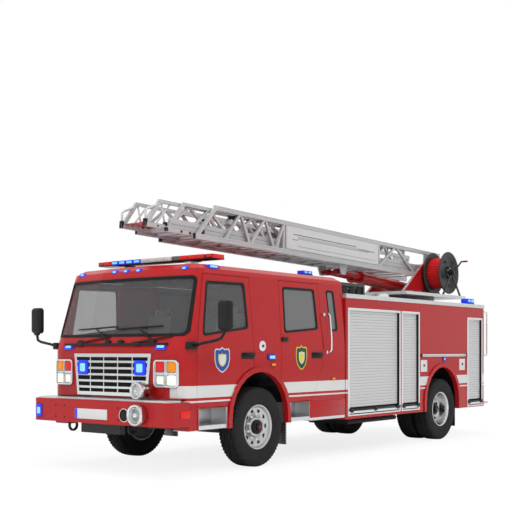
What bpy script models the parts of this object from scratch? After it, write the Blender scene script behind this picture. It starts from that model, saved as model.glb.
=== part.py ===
"""Aerial-ladder fire engine, modelled as an assembly of separate pieces.

Places are measured from the front axle: +X forward, +Y to the vehicle's left, +Z up, ground at z = 0.
An empty carries everything, so that the finished object's origin is on the ground below its middle.
"""
import math

import bmesh
import bpy
from mathutils import Matrix, Vector

MM = 0.001
FIT = 0.3 * MM
RUNNING = 0.5 * MM
DOOR_GAP = 6 * MM
MOVING_GAP = 8 * MM
OVERRUN = 0.05
FLATNESS = MM / 1000

# Driving dimensions of the vehicle
HALF_WIDTH = 1.25
WHEELBASE = 5.19
CAB_REAR_X = -2.067
BODY_FRONT_X = -2.093
BODY_REAR_X = -6.85
BODY_TOP_Z = 2.355
BUMPER_FRONT_X = 1.772

# Wheels
TYRE_RADIUS = 0.535
TYRE_WIDTH = 0.29
TYRE_OUTER_Y = 1.235
BEAD_RADIUS = 0.292
RIM_LIP_RADIUS = 0.315
RIM_WALL = 0.012
LIP_FOOT = 0.0237
LIP_WIDTH = 0.0152
TWIN_GAP = 0.05
WHEEL_SEGMENTS = 24
DISC_THICKNESS = 0.016
LUG_COUNT = 10
LUG_START = 10
LUG_CIRCLE_RADIUS = 0.1675
LUG_RADIUS = 0.016
LUG_HEIGHT = 0.026
HUB_RADIUS = 0.105
HUB_CAP_RADIUS = 0.058
HUB_SEGMENTS = 15

# Wheel arches
ARCH_CENTRE_Z = 0.67
ARCH_FLARE_RADIUS = 0.675
ARCH_OPEN_RADIUS = 0.605
ARCH_BOTTOM_Z = 0.56
FLARE_PROUD = 0.022
FLARE_DEPTH = 0.06
WELL_RADIUS = 0.650
WELL_WALL = 0.022
WELL_INNER_Y = 0.635
SEAM = 3 * MM
ARC_STEPS = 12

# Cab
CAB_SILL_Z = 0.835
CAB_NOSE_BOTTOM_Z = 0.955
BELT_Z = 1.58
ROOF_EDGE_Z = 2.545
ROOF_CROWN_Z = 2.685
CAB_NOSE_X = 1.532
CAB_CORNER_X = 1.27
ROOF_NOSE_X = 1.285
ROOF_CORNER_X = 1.06
ROOF_LEAN = 0.055
NOSE_BOW = 0.045
GLASS_BOW = 0.10
CAB_WALL = 0.05
FLOOR_Z = 1.12
FLOOR_THICKNESS = 0.06
TUNNEL_HALF_WIDTH = 0.40
TUNNEL_TOP_Z = 1.42
TUNNEL_FRONT_X = 1.12
TUNNEL_REAR_X = -0.42
GLASS_THICKNESS = 6 * MM
GLASS_INSET = 10 * MM

MATERIALS = {
    "red_paint": ((0.62, 0.012, 0.016), 0.25, 0.0),
    "black_plastic": ((0.02, 0.02, 0.022), 0.5, 0.0),
    "chassis_black": ((0.03, 0.03, 0.032), 0.6, 0.0),
    "glass": ((0.03, 0.035, 0.04), 0.05, 0.0),
    "chrome": ((0.75, 0.76, 0.78), 0.12, 1.0),
    "tread_plate": ((0.62, 0.63, 0.65), 0.35, 1.0),
    "ladder_silver": ((0.6, 0.61, 0.62), 0.4, 0.6),
    "shutter_aluminium": ((0.62, 0.63, 0.64), 0.45, 0.5),
    "wheel_silver": ((0.55, 0.56, 0.58), 0.3, 0.9),
    "tyre_rubber": ((0.018, 0.018, 0.02), 0.85, 0.0),
    "cast_iron": ((0.08, 0.08, 0.085), 0.6, 0.4),
    "seat_fabric": ((0.045, 0.047, 0.055), 0.9, 0.0),
    "lamp_red": ((0.75, 0.03, 0.03), 0.2, 0.0),
    "reel_red": ((0.70, 0.03, 0.03), 0.35, 0.0),
}


def clear_scene():
    for old in list(bpy.data.objects):
        bpy.data.objects.remove(old, do_unlink=True)


def make_materials():
    made = {}
    for name, (colour, roughness, metallic) in MATERIALS.items():
        material = bpy.data.materials.new(name)
        material.use_nodes = True
        shader = material.node_tree.nodes["Principled BSDF"]
        shader.inputs["Base Color"].default_value = (*colour, 1.0)
        shader.inputs["Roughness"].default_value = roughness
        shader.inputs["Metallic"].default_value = metallic
        made[name] = material
    return made


def mesh_object(name, bm):
    """Makes an object of a bmesh, its faces pointing out and each of them flat."""
    bmesh.ops.recalc_face_normals(bm, faces=bm.faces)
    bent = []
    for face in bm.faces:
        middle = face.calc_center_median()
        if any(abs((vertex.co - middle).dot(face.normal)) > FLATNESS for vertex in face.verts):
            bent.append(face)
    bmesh.ops.triangulate(bm, faces=bent)
    mesh = bpy.data.meshes.new(name)
    bm.to_mesh(mesh)
    bm.free()
    made = bpy.data.objects.new(name, mesh)
    bpy.context.scene.collection.objects.link(made)
    return made


def loft(rings, name="loft"):
    """Joins closed rings of equally many points, and caps the first and the last."""
    bm = bmesh.new()
    rows = [[bm.verts.new(point) for point in ring] for ring in rings]
    count = len(rings[0])
    for low, high in zip(rows, rows[1:]):
        for i in range(count):
            j = (i + 1) % count
            bm.faces.new((low[i], low[j], high[j], high[i]))
    bm.faces.new(list(reversed(rows[0])))
    bm.faces.new(rows[-1])
    return mesh_object(name, bm)


def box(x, y, z):
    """A block between two limits along each axis."""
    corners = [(x[0], y[0]), (x[1], y[0]), (x[1], y[1]), (x[0], y[1])]
    return loft([[(a, b, height) for a, b in corners] for height in z], "box")


def plate_y(outline, y):
    """An outline of (x, z) points, as thick as the two y limits."""
    return loft([[(a, side, b) for a, b in outline] for side in y], "plate")


def plate_x(outline, x):
    """An outline of (y, z) points, as thick as the two x limits."""
    return loft([[(side, a, b) for a, b in outline] for side in x], "plate")


def plate_z(outline, z):
    """An outline of (x, y) points, as thick as the two z limits."""
    return loft([[(a, b, side) for a, b in outline] for side in z], "plate")


def arc(centre, radius, start, end, steps):
    """Points along a circle, from one angle to another in degrees."""
    points = []
    for i in range(steps + 1):
        angle = math.radians(start + (end - start) * i / steps)
        points.append((centre[0] + radius * math.cos(angle), centre[1] + radius * math.sin(angle)))
    return points


def rounded(low, high, radius, steps=2):
    """A rectangle with round corners, as points of its outline."""
    points = []
    places = ((1, 1, 0), (0, 1, 90), (0, 0, 180), (1, 0, 270))
    for right, top, start in places:
        centre = (
            high[0] - radius if right else low[0] + radius,
            high[1] - radius if top else low[1] + radius,
        )
        points += arc(centre, radius, start, start + 90, steps)
    return points


def rod(start, end, radius, sides=12):
    """A round bar between two points."""
    start, end = Vector(start), Vector(end)
    turn = (end - start).to_track_quat("Z", "Y").to_matrix()
    rings = []
    for middle in (start, end):
        ring = [turn @ Vector((a, b, 0)) + middle for a, b in arc((0, 0), radius, 0, 360, sides)[:-1]]
        rings.append(ring)
    return loft(rings, "rod")


def bore(start, end, radius, sides):
    """A round hole in which a pin of that radius turns freely."""
    return rod(start, end, radius / math.cos(math.pi / sides) + RUNNING, sides)


def beam(start, end, width, height, up=(0, 0, 1)):
    """A square bar between two points, its width across and its height along up."""
    start, end = Vector(start), Vector(end)
    along = (end - start).normalized()
    across = along.cross(Vector(up)).normalized()
    over = across.cross(along)
    corners = ((-1, -1), (1, -1), (1, 1), (-1, 1))
    rings = []
    for middle in (start, end):
        rings.append([middle + across * (a * width / 2) + over * (b * height / 2) for a, b in corners])
    return loft(rings, "beam")


def turned(profile, segments, centre, axis="Y"):
    """A closed profile of (radius, place along the axis) turned round an axis through a centre."""
    bm = bmesh.new()
    rows = []
    for radius, place in profile:
        if radius < MM / 10:
            rows.append([bm.verts.new((0, 0, place))])
        else:
            ring = arc((0, 0), radius, 0, 360, segments)[:-1]
            rows.append([bm.verts.new((a, b, place)) for a, b in ring])
    for low, high in zip(rows, rows[1:] + rows[:1]):
        if len(low) == 1 and len(high) == 1:
            continue
        for i in range(segments):
            j = (i + 1) % segments
            corners = [low[i % len(low)], low[j % len(low)], high[j % len(high)], high[i % len(high)]]
            bm.faces.new(list(dict.fromkeys(corners)))
    spin = {"X": Matrix.Rotation(math.pi / 2, 4, "Y"), "Y": Matrix.Rotation(-math.pi / 2, 4, "X"), "Z": Matrix()}
    bm.transform(Matrix.Translation(centre) @ spin[axis])
    return mesh_object("turned", bm)


def combine(target, tool, operation):
    """Fuses or cuts a working object with another one, which it then removes."""
    modifier = target.modifiers.new(operation.lower(), "BOOLEAN")
    modifier.operation = operation
    modifier.solver = "EXACT"
    modifier.object = tool
    shape = target.evaluated_get(bpy.context.evaluated_depsgraph_get())
    mesh = bpy.data.meshes.new_from_object(shape)
    target.modifiers.clear()
    target.data = mesh
    bpy.data.objects.remove(tool, do_unlink=True)
    return target


def fuse(first, *others):
    for other in others:
        combine(first, other, "UNION")
    return first


def cut(first, *tools):
    for tool in tools:
        combine(first, tool, "DIFFERENCE")
    return first


def common(first, tool):
    return combine(first, tool, "INTERSECT")


def copied(source):
    twin = source.copy()
    twin.data = source.data.copy()
    bpy.context.scene.collection.objects.link(twin)
    return twin


def moved(source, offset):
    source.data.transform(Matrix.Translation(offset))
    return source


def mirrored(source):
    """A copy on the vehicle's other side."""
    twin = copied(source)
    twin.data.transform(Matrix.Scale(-1, 4, (0, 1, 0)))
    twin.data.flip_normals()
    return twin


class Vehicle:
    """Keeps the finished pieces, each under the empty of the body that it moves with."""

    def __init__(self):
        self.materials = make_materials()
        datum = bpy.data.objects.new("datum", None)
        bpy.context.scene.collection.objects.link(datum)
        datum.location = (FRONT_AXLE_X, 0, 0)
        self.pivots = {"datum": (datum, Vector((0, 0, 0)))}

    def pivot(self, name, place, parent="datum"):
        """An empty on a joint's axis, its place measured from the front axle."""
        empty = bpy.data.objects.new(f"pivot_{name}", None)
        bpy.context.scene.collection.objects.link(empty)
        above, above_place = self.pivots[parent]
        empty.location = Vector(place) - above_place
        empty.parent = above
        self.pivots[name] = (empty, Vector(place))

    def piece(self, name, shape, material, pivot="datum", smooth_angle=None):
        """Names a finished shape, and hangs it on its pivot without moving it."""
        shape.name = name
        shape.data.name = name
        shape.data.materials.clear()
        shape.data.materials.append(self.materials[material])
        empty, place = self.pivots[pivot]
        shape.data.transform(Matrix.Translation(-place))
        shape.parent = empty
        if smooth_angle:
            shape.data.shade_smooth()
            shape.data.set_sharp_from_angle(angle=math.radians(smooth_angle))
        return shape


# The cab's outline by height: height, nose, where the corner starts, half width, bow of the front, share of the roof's set-in
CAB_LEVELS = (
    (CAB_SILL_Z, CAB_NOSE_X, CAB_CORNER_X, HALF_WIDTH, NOSE_BOW, 0),
    (BELT_Z, CAB_NOSE_X, CAB_CORNER_X, HALF_WIDTH, NOSE_BOW, 0),
    (ROOF_EDGE_Z, ROOF_NOSE_X, ROOF_CORNER_X, HALF_WIDTH - ROOF_LEAN, GLASS_BOW, 0),
    (ROOF_EDGE_Z + 0.055, ROOF_NOSE_X - 0.02, ROOF_CORNER_X, HALF_WIDTH - ROOF_LEAN - 0.02, GLASS_BOW, 0.15),
    (ROOF_CROWN_Z - 0.025, ROOF_NOSE_X - 0.10, ROOF_CORNER_X - 0.05, HALF_WIDTH - ROOF_LEAN - 0.12, GLASS_BOW, 0.6),
    (ROOF_CROWN_Z, ROOF_NOSE_X - 0.28, ROOF_CORNER_X - 0.15, HALF_WIDTH - ROOF_LEAN - 0.34, GLASS_BOW, 1.0),
)
ROOF_REAR_SET_IN = 0.12
CAB_CORNER_WIDTH = 0.22
CORNER_STEPS = 4
BOW_STEPS = 4


def cab_ring(level, inset=0.0, drop=0.0):
    """The cab's outline at one of its levels, moved in by a wall's thickness."""
    height, nose, corner, half, bow, share = level
    rear = CAB_REAR_X + share * ROOF_REAR_SET_IN + inset
    side = half - inset
    turn = half - CAB_CORNER_WIDTH
    face = nose - bow - inset
    right = [(rear, -side)]
    for i in range(CORNER_STEPS + 1):
        angle = math.radians(90 * i / CORNER_STEPS)
        right.append((corner + (face - corner) * math.sin(angle), -turn - (side - turn) * math.cos(angle)))
    front = []
    for i in range(1, BOW_STEPS):
        y = turn * (2 * i / BOW_STEPS - 1)
        front.append((face + bow * (1 - (y / turn) ** 2), y))
    left = [(x, -y) for x, y in reversed(right)]
    return [(x, y, height - drop) for x, y in right + front + left]


def between_levels(height):
    """A level of the cab between two of the table's rows."""
    for low, high in zip(CAB_LEVELS, CAB_LEVELS[1:]):
        if low[0] <= height <= high[0]:
            share = (height - low[0]) / (high[0] - low[0])
            return tuple(a + (b - a) * share for a, b in zip(low, high))
    return CAB_LEVELS[0] if height < CAB_LEVELS[0][0] else CAB_LEVELS[-1]


def cab_form(inset=0.0, bottom_drop=0.0):
    """The cab's outer form, or that form moved in; its underside may lie lower."""
    rings = [cab_ring(level, inset, inset if level[0] > BELT_Z else 0) for level in CAB_LEVELS]
    rings[0] = [(x, y, z - bottom_drop) for x, y, z in rings[0]]
    return loft(rings, "cab_form")


def cab_skin(outer_inset, thickness):
    """A wall that follows the cab's form."""
    return cut(cab_form(outer_inset), cab_form(outer_inset + thickness, OVERRUN))


def grown(outline, gap):
    """An outline with each side moved out by a gap; it runs anticlockwise."""
    points = []
    count = len(outline)
    for i, (x, y) in enumerate(outline):
        before, after = outline[i - 1], outline[(i + 1) % count]
        first = Vector((x - before[0], y - before[1])).normalized()
        second = Vector((after[0] - x, after[1] - y)).normalized()
        out = Vector((first.y + second.y, -first.x - second.x)).normalized()
        share = max(out.dot(Vector((first.y, -first.x))), 0.3)
        points.append((x + out.x * gap / share, y + out.y * gap / share))
    return points


# Door and window outlines on the left side, as (x, z), anticlockwise seen from the right
DOOR_ARC_RADIUS = ARCH_FLARE_RADIUS + DOOR_GAP + 2 * MM
FRONT_DOOR_FRONT_X = 1.265
FRONT_DOOR_TOP_FRONT_X = 1.095
FRONT_DOOR_TOP_REAR_X = 0.19
FRONT_DOOR_REAR_X = 0.126
DOOR_TOP_Z = 2.525
DOOR_BOTTOM_Z = 0.85
REAR_DOOR_FRONT_X = -0.475
REAR_DOOR_TOP_REAR_X = -1.417
REAR_DOOR_REAR_X = -1.496
REAR_DOOR_BEND_Z = 1.38
REAR_DOOR_BOTTOM_X = -1.186
WINDOW_ROUND = 0.045
FRONT_WINDOW = ((0.235, 1.852), (1.15, 1.742), (1.045, 2.436), (0.285, 2.446))
REAR_WINDOW = ((-1.378, 1.868), (-0.563, 1.805), (-0.557, 2.44), (-1.318, 2.442))
QUARTER_WINDOW = ((-1.893, 1.852), (-1.702, 1.850), (-1.625, 2.445), (-1.822, 2.442))
HINGE_OUT = 4 * MM


def round_corners(outline, radius, steps=2):
    """An outline whose corners are arcs."""
    points = []
    count = len(outline)
    for i, corner in enumerate(outline):
        corner = Vector(corner)
        back = (Vector(outline[i - 1]) - corner).normalized()
        ahead = (Vector(outline[(i + 1) % count]) - corner).normalized()
        half = back.angle(ahead) / 2
        centre = corner + (back + ahead).normalized() * (radius / math.sin(half))
        start = corner + back * (radius / math.tan(half)) - centre
        turn = math.pi - 2 * half
        for k in range(steps + 1):
            angle = turn * k / steps
            points.append((
                centre.x + start.x * math.cos(angle) - start.y * math.sin(angle),
                centre.y + start.x * math.sin(angle) + start.y * math.cos(angle),
            ))
    return points


def front_door_outline():
    """Down the front edge, along the sill, round the arch, up the rear edge and back along the top."""
    low_angle = math.degrees(math.asin((DOOR_BOTTOM_Z - ARCH_CENTRE_Z) / DOOR_ARC_RADIUS))
    high_angle = math.degrees(math.acos(FRONT_DOOR_REAR_X / DOOR_ARC_RADIUS))
    curve = arc((0, ARCH_CENTRE_Z), DOOR_ARC_RADIUS, high_angle, low_angle, 7)
    return [(FRONT_DOOR_TOP_REAR_X, DOOR_TOP_Z)] + curve + [
        (FRONT_DOOR_FRONT_X, DOOR_BOTTOM_Z),
        (FRONT_DOOR_FRONT_X, BELT_Z),
        (FRONT_DOOR_TOP_FRONT_X, DOOR_TOP_Z),
    ]


def rear_door_outline():
    low_angle = 180 - math.degrees(math.asin((DOOR_BOTTOM_Z - ARCH_CENTRE_Z) / DOOR_ARC_RADIUS))
    high_angle = math.degrees(math.acos(REAR_DOOR_FRONT_X / DOOR_ARC_RADIUS))
    curve = arc((0, ARCH_CENTRE_Z), DOOR_ARC_RADIUS, low_angle, high_angle, 5)
    return [(REAR_DOOR_BOTTOM_X, DOOR_BOTTOM_Z)] + curve + [
        (REAR_DOOR_FRONT_X, DOOR_TOP_Z),
        (REAR_DOOR_TOP_REAR_X, DOOR_TOP_Z),
        (REAR_DOOR_REAR_X, REAR_DOOR_BEND_Z + 0.14),
        (REAR_DOOR_REAR_X, REAR_DOOR_BEND_Z),
    ]


SIDE_Y = (HALF_WIDTH - 0.13, HALF_WIDTH + OVERRUN)
WINDSHIELD_BOTTOM_Z = 1.742
WINDSHIELD_TOP_Z = 2.50
WINDSHIELD_BOTTOM_HALF = 1.195
WINDSHIELD_TOP_HALF = 1.15
WINDSHIELD_REAR_X = 0.95
WINDSHIELD_ROUND = 0.07


def windshield_outline():
    """As (y, z)."""
    corners = (
        (-WINDSHIELD_BOTTOM_HALF, WINDSHIELD_BOTTOM_Z), (WINDSHIELD_BOTTOM_HALF, WINDSHIELD_BOTTOM_Z),
        (WINDSHIELD_TOP_HALF, WINDSHIELD_TOP_Z), (-WINDSHIELD_TOP_HALF, WINDSHIELD_TOP_Z),
    )
    return round_corners(corners, WINDSHIELD_ROUND)


def arch_outline(radius, bottom):
    """A wheel arch round the wheel's centre line, as (x, z), with straight legs where it reaches below its centre."""
    if bottom > ARCH_CENTRE_Z:
        start = math.degrees(math.asin((bottom - ARCH_CENTRE_Z) / radius))
        return arc((0, ARCH_CENTRE_Z), radius, start, 180 - start, ARC_STEPS)
    return [(radius, bottom)] + arc((0, ARCH_CENTRE_Z), radius, 0, 180, ARC_STEPS) + [(-radius, bottom)]


def both_sides(make):
    """The same tool on the left and on the right."""
    left = make()
    return left, mirrored(left)


def make_cab_shell(vehicle):
    shell = cab_skin(0, CAB_WALL)
    quarter = round_corners(QUARTER_WINDOW, WINDOW_ROUND)
    cut(shell, *both_sides(lambda: plate_y(quarter, SIDE_Y)))
    cut(shell, plate_x(windshield_outline(), (WINDSHIELD_REAR_X, CAB_NOSE_X + OVERRUN)))
    floor_level = between_levels(FLOOR_Z)
    floor_ring = cab_ring(floor_level, CAB_WALL / 2)
    floor = loft([
        [(x, y, FLOOR_Z - FLOOR_THICKNESS) for x, y, z in floor_ring],
        [(x, y, FLOOR_Z) for x, y, z in floor_ring],
    ])
    tunnel = box(
        (TUNNEL_REAR_X, TUNNEL_FRONT_X), (-TUNNEL_HALF_WIDTH, TUNNEL_HALF_WIDTH), (FLOOR_Z - FLOOR_THICKNESS, TUNNEL_TOP_Z)
    )
    fuse(shell, floor, tunnel)
    inner_y = WELL_INNER_Y - WELL_WALL
    skin_y = HALF_WIDTH - CAB_WALL / 2
    fuse(shell, *both_sides(lambda: plate_y(
        arch_outline(WELL_RADIUS + WELL_WALL, CAB_SILL_Z + 2 * MM), (inner_y, skin_y))))
    cut(shell, *both_sides(lambda: plate_y(
        arch_outline(WELL_RADIUS, CAB_SILL_Z - OVERRUN), (WELL_INNER_Y, HALF_WIDTH - FLARE_DEPTH))))
    fuse(shell, *both_sides(lambda: plate_y(
        arch_outline(ARCH_FLARE_RADIUS, ARCH_BOTTOM_Z), (HALF_WIDTH - FLARE_DEPTH - FIT, HALF_WIDTH + FLARE_PROUD))))
    cut(shell, *both_sides(lambda: plate_y(
        arch_outline(ARCH_OPEN_RADIUS, ARCH_BOTTOM_Z - OVERRUN),
        (HALF_WIDTH - FLARE_DEPTH - OVERRUN, HALF_WIDTH + OVERRUN))))
    for outline in (front_door_outline(), rear_door_outline()):
        cut(shell, *both_sides(lambda: plate_y(grown(outline, DOOR_GAP), SIDE_Y)))
    engine_bay = box(
        (TUNNEL_REAR_X + FLOOR_THICKNESS, TUNNEL_FRONT_X - FLOOR_THICKNESS),
        (-TUNNEL_HALF_WIDTH + WELL_WALL, TUNNEL_HALF_WIDTH - WELL_WALL),
        (CAB_SILL_Z - OVERRUN, TUNNEL_TOP_Z - WELL_WALL),
    )
    nose_cut = box((CAB_CORNER_X + 0.14, CAB_NOSE_X + OVERRUN), (-HALF_WIDTH - OVERRUN, HALF_WIDTH + OVERRUN),
                   (CAB_SILL_Z - OVERRUN, CAB_NOSE_BOTTOM_Z))
    rail_notch = box((CAB_REAR_X - OVERRUN, CAB_REAR_X + CAB_WALL + OVERRUN), (-CHANNEL_HALF_WIDTH, CHANNEL_HALF_WIDTH),
                     (CAB_SILL_Z - OVERRUN, RAIL_Z[1] + FIT))
    cut(shell, engine_bay, nose_cut, rail_notch)
    vehicle.piece("cab_shell", shell, "red_paint", smooth_angle=30)


def make_glass(vehicle):
    band = cab_skin(GLASS_INSET, GLASS_THICKNESS)
    pane = common(copied(band), plate_x(grown(windshield_outline(), -FIT), (WINDSHIELD_REAR_X, CAB_NOSE_X)))
    vehicle.piece("windshield", pane, "glass", smooth_angle=30)
    windows = (
        ("glass_front", FRONT_WINDOW, "door_front"),
        ("glass_rear", REAR_WINDOW, "door_rear"),
        ("quarter_glass", QUARTER_WINDOW, None),
    )
    for name, corners, door in windows:
        outline = grown(round_corners(corners, WINDOW_ROUND), -FIT)
        left = common(copied(band), plate_y(outline, SIDE_Y))
        right = mirrored(left)
        for side, pane in (("left", left), ("right", right)):
            pivot = f"{door}_{side}" if door else "datum"
            vehicle.piece(f"{name}_{side}", pane, "glass", pivot)
    bpy.data.objects.remove(band, do_unlink=True)


def make_doors(vehicle):
    """Each door is the piece of the cab's wall inside its outline, with its window cut."""
    wall = cab_skin(0, CAB_WALL)
    doors = (
        ("door_front", front_door_outline(), FRONT_WINDOW, FRONT_DOOR_FRONT_X),
        ("door_rear", rear_door_outline(), REAR_WINDOW, REAR_DOOR_FRONT_X),
    )
    for name, outline, window, hinge_x in doors:
        left = common(copied(wall), plate_y(outline, SIDE_Y))
        cut(left, plate_y(round_corners(window, WINDOW_ROUND), SIDE_Y))
        right = mirrored(left)
        for side, sign, panel in (("left", 1, left), ("right", -1, right)):
            pivot = f"{name}_{side}"
            vehicle.pivot(pivot, (hinge_x, sign * (HALF_WIDTH + HINGE_OUT), DOOR_BOTTOM_Z))
            vehicle.piece(f"{name}_{side}", panel, "red_paint", pivot, 30)
    bpy.data.objects.remove(wall, do_unlink=True)


# Running gear
AXLE_Z = TYRE_RADIUS
REAR_AXLE_X = -WHEELBASE
RAIL_INNER_Y = 0.36
RAIL_OUTER_Y = 0.435
RAIL_Z = (0.66, 0.90)
RAIL_X = (BODY_REAR_X + 0.06, 1.62)
CROSSMEMBER_PLACES = (1.30, -1.30, -2.60, -3.90, -6.30)
CROSSMEMBER_WIDTH = 0.10
CROSSMEMBER_Z = (0.74, 0.86)
SPRING_HALF_LENGTH = 0.66
SPRING_WIDTH = 0.07
SPRING_EYE_Z = RAIL_Z[0] - 0.045
KINGPIN_Y = 0.90
KINGPIN_RADIUS = 0.050
KINGPIN_EYE_HEIGHT = 0.13
KNUCKLE_LUG_HEIGHT = 0.05
STEER_LIMIT = 32
HUB_FACE_Y = 1.02
REAR_HUB_FACE_Y = 0.50
TANK_X = (-2.30, -3.75)
TANK_OUTER_Y = 1.16
TANK_Z = (0.43, 0.50)
MUDFLAP_THICKNESS = 0.02
MUDFLAP_BOTTOM_Z = 0.20
MUDFLAP_WIDTH = 0.58
MUDFLAP_OUTER_Y = 1.18
REAR_MUDFLAP_X = REAR_AXLE_X - WELL_RADIUS + 0.037
FRONT_MUDFLAP_X = -0.665
FRONT_MUDFLAP_BOTTOM_Z = 0.25


def tyre(centre_y):
    """A turned tyre: tread band, round shoulders, bulged walls and beads."""
    half = TYRE_WIDTH / 2
    shoulder = 0.035
    outline = [
        (BEAD_RADIUS, half - 0.040), (0.40, half), (TYRE_RADIUS - shoulder, half - 0.006),
        (TYRE_RADIUS, half - shoulder),
    ]
    profile = outline + [(radius, -y) for radius, y in reversed(outline)]
    return turned(profile, WHEEL_SEGMENTS, (0, centre_y, 0))


def ring_of(count, circle_radius, make):
    """Shapes set round a wheel's axis, made at their place in the wheel's plane."""
    shapes = []
    for i in range(count):
        angle = math.radians(LUG_START + 360 * i / count)
        shapes.append(make(circle_radius * math.cos(angle), circle_radius * math.sin(angle)))
    return shapes


def rim_band(disc_y, outer, inner, face_depth):
    """A rim from its outer lip to its inner lip as (radius, y), with a disc at disc_y."""
    seat = BEAD_RADIUS - FIT
    bed = seat - RIM_WALL
    outer_side = [
        (seat, outer - LIP_FOOT), (RIM_LIP_RADIUS, outer - LIP_WIDTH), (RIM_LIP_RADIUS, outer - 0.004),
        (RIM_LIP_RADIUS - 0.006, outer), (bed, outer - 0.035), (bed - 0.006, disc_y + face_depth),
        (0.0, disc_y + face_depth), (0.0, disc_y - DISC_THICKNESS + face_depth), (bed - 0.012, disc_y - DISC_THICKNESS),
    ]
    if disc_y - DISC_THICKNESS > inner + 0.05:
        outer_side.append((bed, inner + 0.035))
    return outer_side + [
        (RIM_LIP_RADIUS - 0.006, inner), (RIM_LIP_RADIUS, inner + 0.004), (RIM_LIP_RADIUS, inner + LIP_WIDTH),
        (seat, inner + LIP_FOOT),
    ]


def front_rim():
    """A disc wheel whose face stands near the outer lip, with its hand holes, nuts and hub."""
    outer, inner = TYRE_OUTER_Y - 0.016, TYRE_OUTER_Y - TYRE_WIDTH + 0.016
    disc_y = outer - 0.085
    rim = turned(rim_band(disc_y, outer, inner, 0.030), WHEEL_SEGMENTS, (0, 0, 0))
    face = disc_y + 0.030
    nuts = ring_of(LUG_COUNT, LUG_CIRCLE_RADIUS, lambda x, z: rod(
        (x, face - 5 * MM, z), (x, face + LUG_HEIGHT, z), LUG_RADIUS, 6))
    hub = turned([
        (0.0, HUB_FACE_Y + FIT), (HUB_RADIUS, HUB_FACE_Y + FIT), (HUB_RADIUS, face + 0.045),
        (HUB_RADIUS - 0.012, face + 0.062), (HUB_CAP_RADIUS, face + 0.066), (HUB_CAP_RADIUS - 0.008, face + 0.09),
        (0.0, face + 0.09),
    ], HUB_SEGMENTS, (0, 0, 0))
    return fuse(rim, hub, *nuts)


def rear_rim():
    """Two dished rims back to back on one long hub."""
    outer_centre = TYRE_OUTER_Y - TYRE_WIDTH / 2
    inner_centre = outer_centre - TYRE_WIDTH - TWIN_GAP
    half = TYRE_WIDTH / 2 - 0.016
    middle = (outer_centre + inner_centre) / 2
    outer_rim = turned(rim_band(middle + DISC_THICKNESS, outer_centre + half, outer_centre - half, 0.0),
                       WHEEL_SEGMENTS, (0, 0, 0))
    inner_rim = turned([(radius, 2 * middle - y) for radius, y in
                        rim_band(middle + DISC_THICKNESS, outer_centre + half, outer_centre - half, 0.0)],
                       WHEEL_SEGMENTS, (0, 0, 0))
    face = middle + DISC_THICKNESS
    hub = turned([
        (0.0, REAR_HUB_FACE_Y + FIT), (HUB_RADIUS, REAR_HUB_FACE_Y + FIT), (HUB_RADIUS, face + 0.16),
        (HUB_RADIUS - 0.015, face + 0.18), (HUB_CAP_RADIUS, face + 0.185), (HUB_CAP_RADIUS - 0.008, face + 0.215),
        (0.0, face + 0.215),
    ], HUB_SEGMENTS, (0, 0, 0))
    return fuse(outer_rim, inner_rim, hub)


def make_wheels(vehicle):
    outer_centre = TYRE_OUTER_Y - TYRE_WIDTH / 2
    inner_centre = outer_centre - TYRE_WIDTH - TWIN_GAP
    for side, sign in (("left", 1), ("right", -1)):
        steer = f"steer_{side}"
        vehicle.pivot(steer, (0, sign * KINGPIN_Y, AXLE_Z))
        front, rear = f"wheel_front_{side}", f"wheel_rear_{side}"
        vehicle.pivot(front, (0, sign * outer_centre, AXLE_Z), steer)
        vehicle.pivot(rear, (REAR_AXLE_X, sign * outer_centre, AXLE_Z))
        pieces = (
            (f"tyre_front_{side}", tyre(outer_centre), 0, "tyre_rubber", front),
            (f"rim_front_{side}", front_rim(), 0, "wheel_silver", front),
            (f"tyre_rear_{side}_outer", tyre(outer_centre), REAR_AXLE_X, "tyre_rubber", rear),
            (f"tyre_rear_{side}_inner", tyre(inner_centre), REAR_AXLE_X, "tyre_rubber", rear),
            (f"rim_rear_{side}", rear_rim(), REAR_AXLE_X, "wheel_silver", rear),
        )
        for name, shape, axle_x, material, pivot in pieces:
            if sign < 0:
                left, shape = shape, mirrored(shape)
                bpy.data.objects.remove(left, do_unlink=True)
            vehicle.piece(name, moved(shape, (axle_x, 0, AXLE_Z)), material, pivot, 35)


def leaf_spring(x, y):
    """A bowed stack of leaves under a rail, its eyes in hangers against the rail."""
    low = AXLE_Z + 0.03
    top = [(-SPRING_HALF_LENGTH, SPRING_EYE_Z), (-SPRING_HALF_LENGTH * 0.5, low + 0.055), (0, low + 0.035),
           (SPRING_HALF_LENGTH * 0.5, low + 0.055), (SPRING_HALF_LENGTH, SPRING_EYE_Z)]
    depth = (0.018, 0.04, 0.075, 0.04, 0.018)
    outline = [(a, b - d) for (a, b), d in zip(top, depth)] + list(reversed(top))
    leaves = plate_y(outline, (y - SPRING_WIDTH / 2, y + SPRING_WIDTH / 2))
    hangers = [box((end * SPRING_HALF_LENGTH - 0.03, end * SPRING_HALF_LENGTH + 0.03),
                   (y - SPRING_WIDTH * 0.4, y + SPRING_WIDTH * 0.4),
                   (SPRING_EYE_Z - 0.03, RAIL_Z[0] - FIT)) for end in (-1, 1)]
    return moved(fuse(leaves, *hangers), (x, 0, 0))


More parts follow.
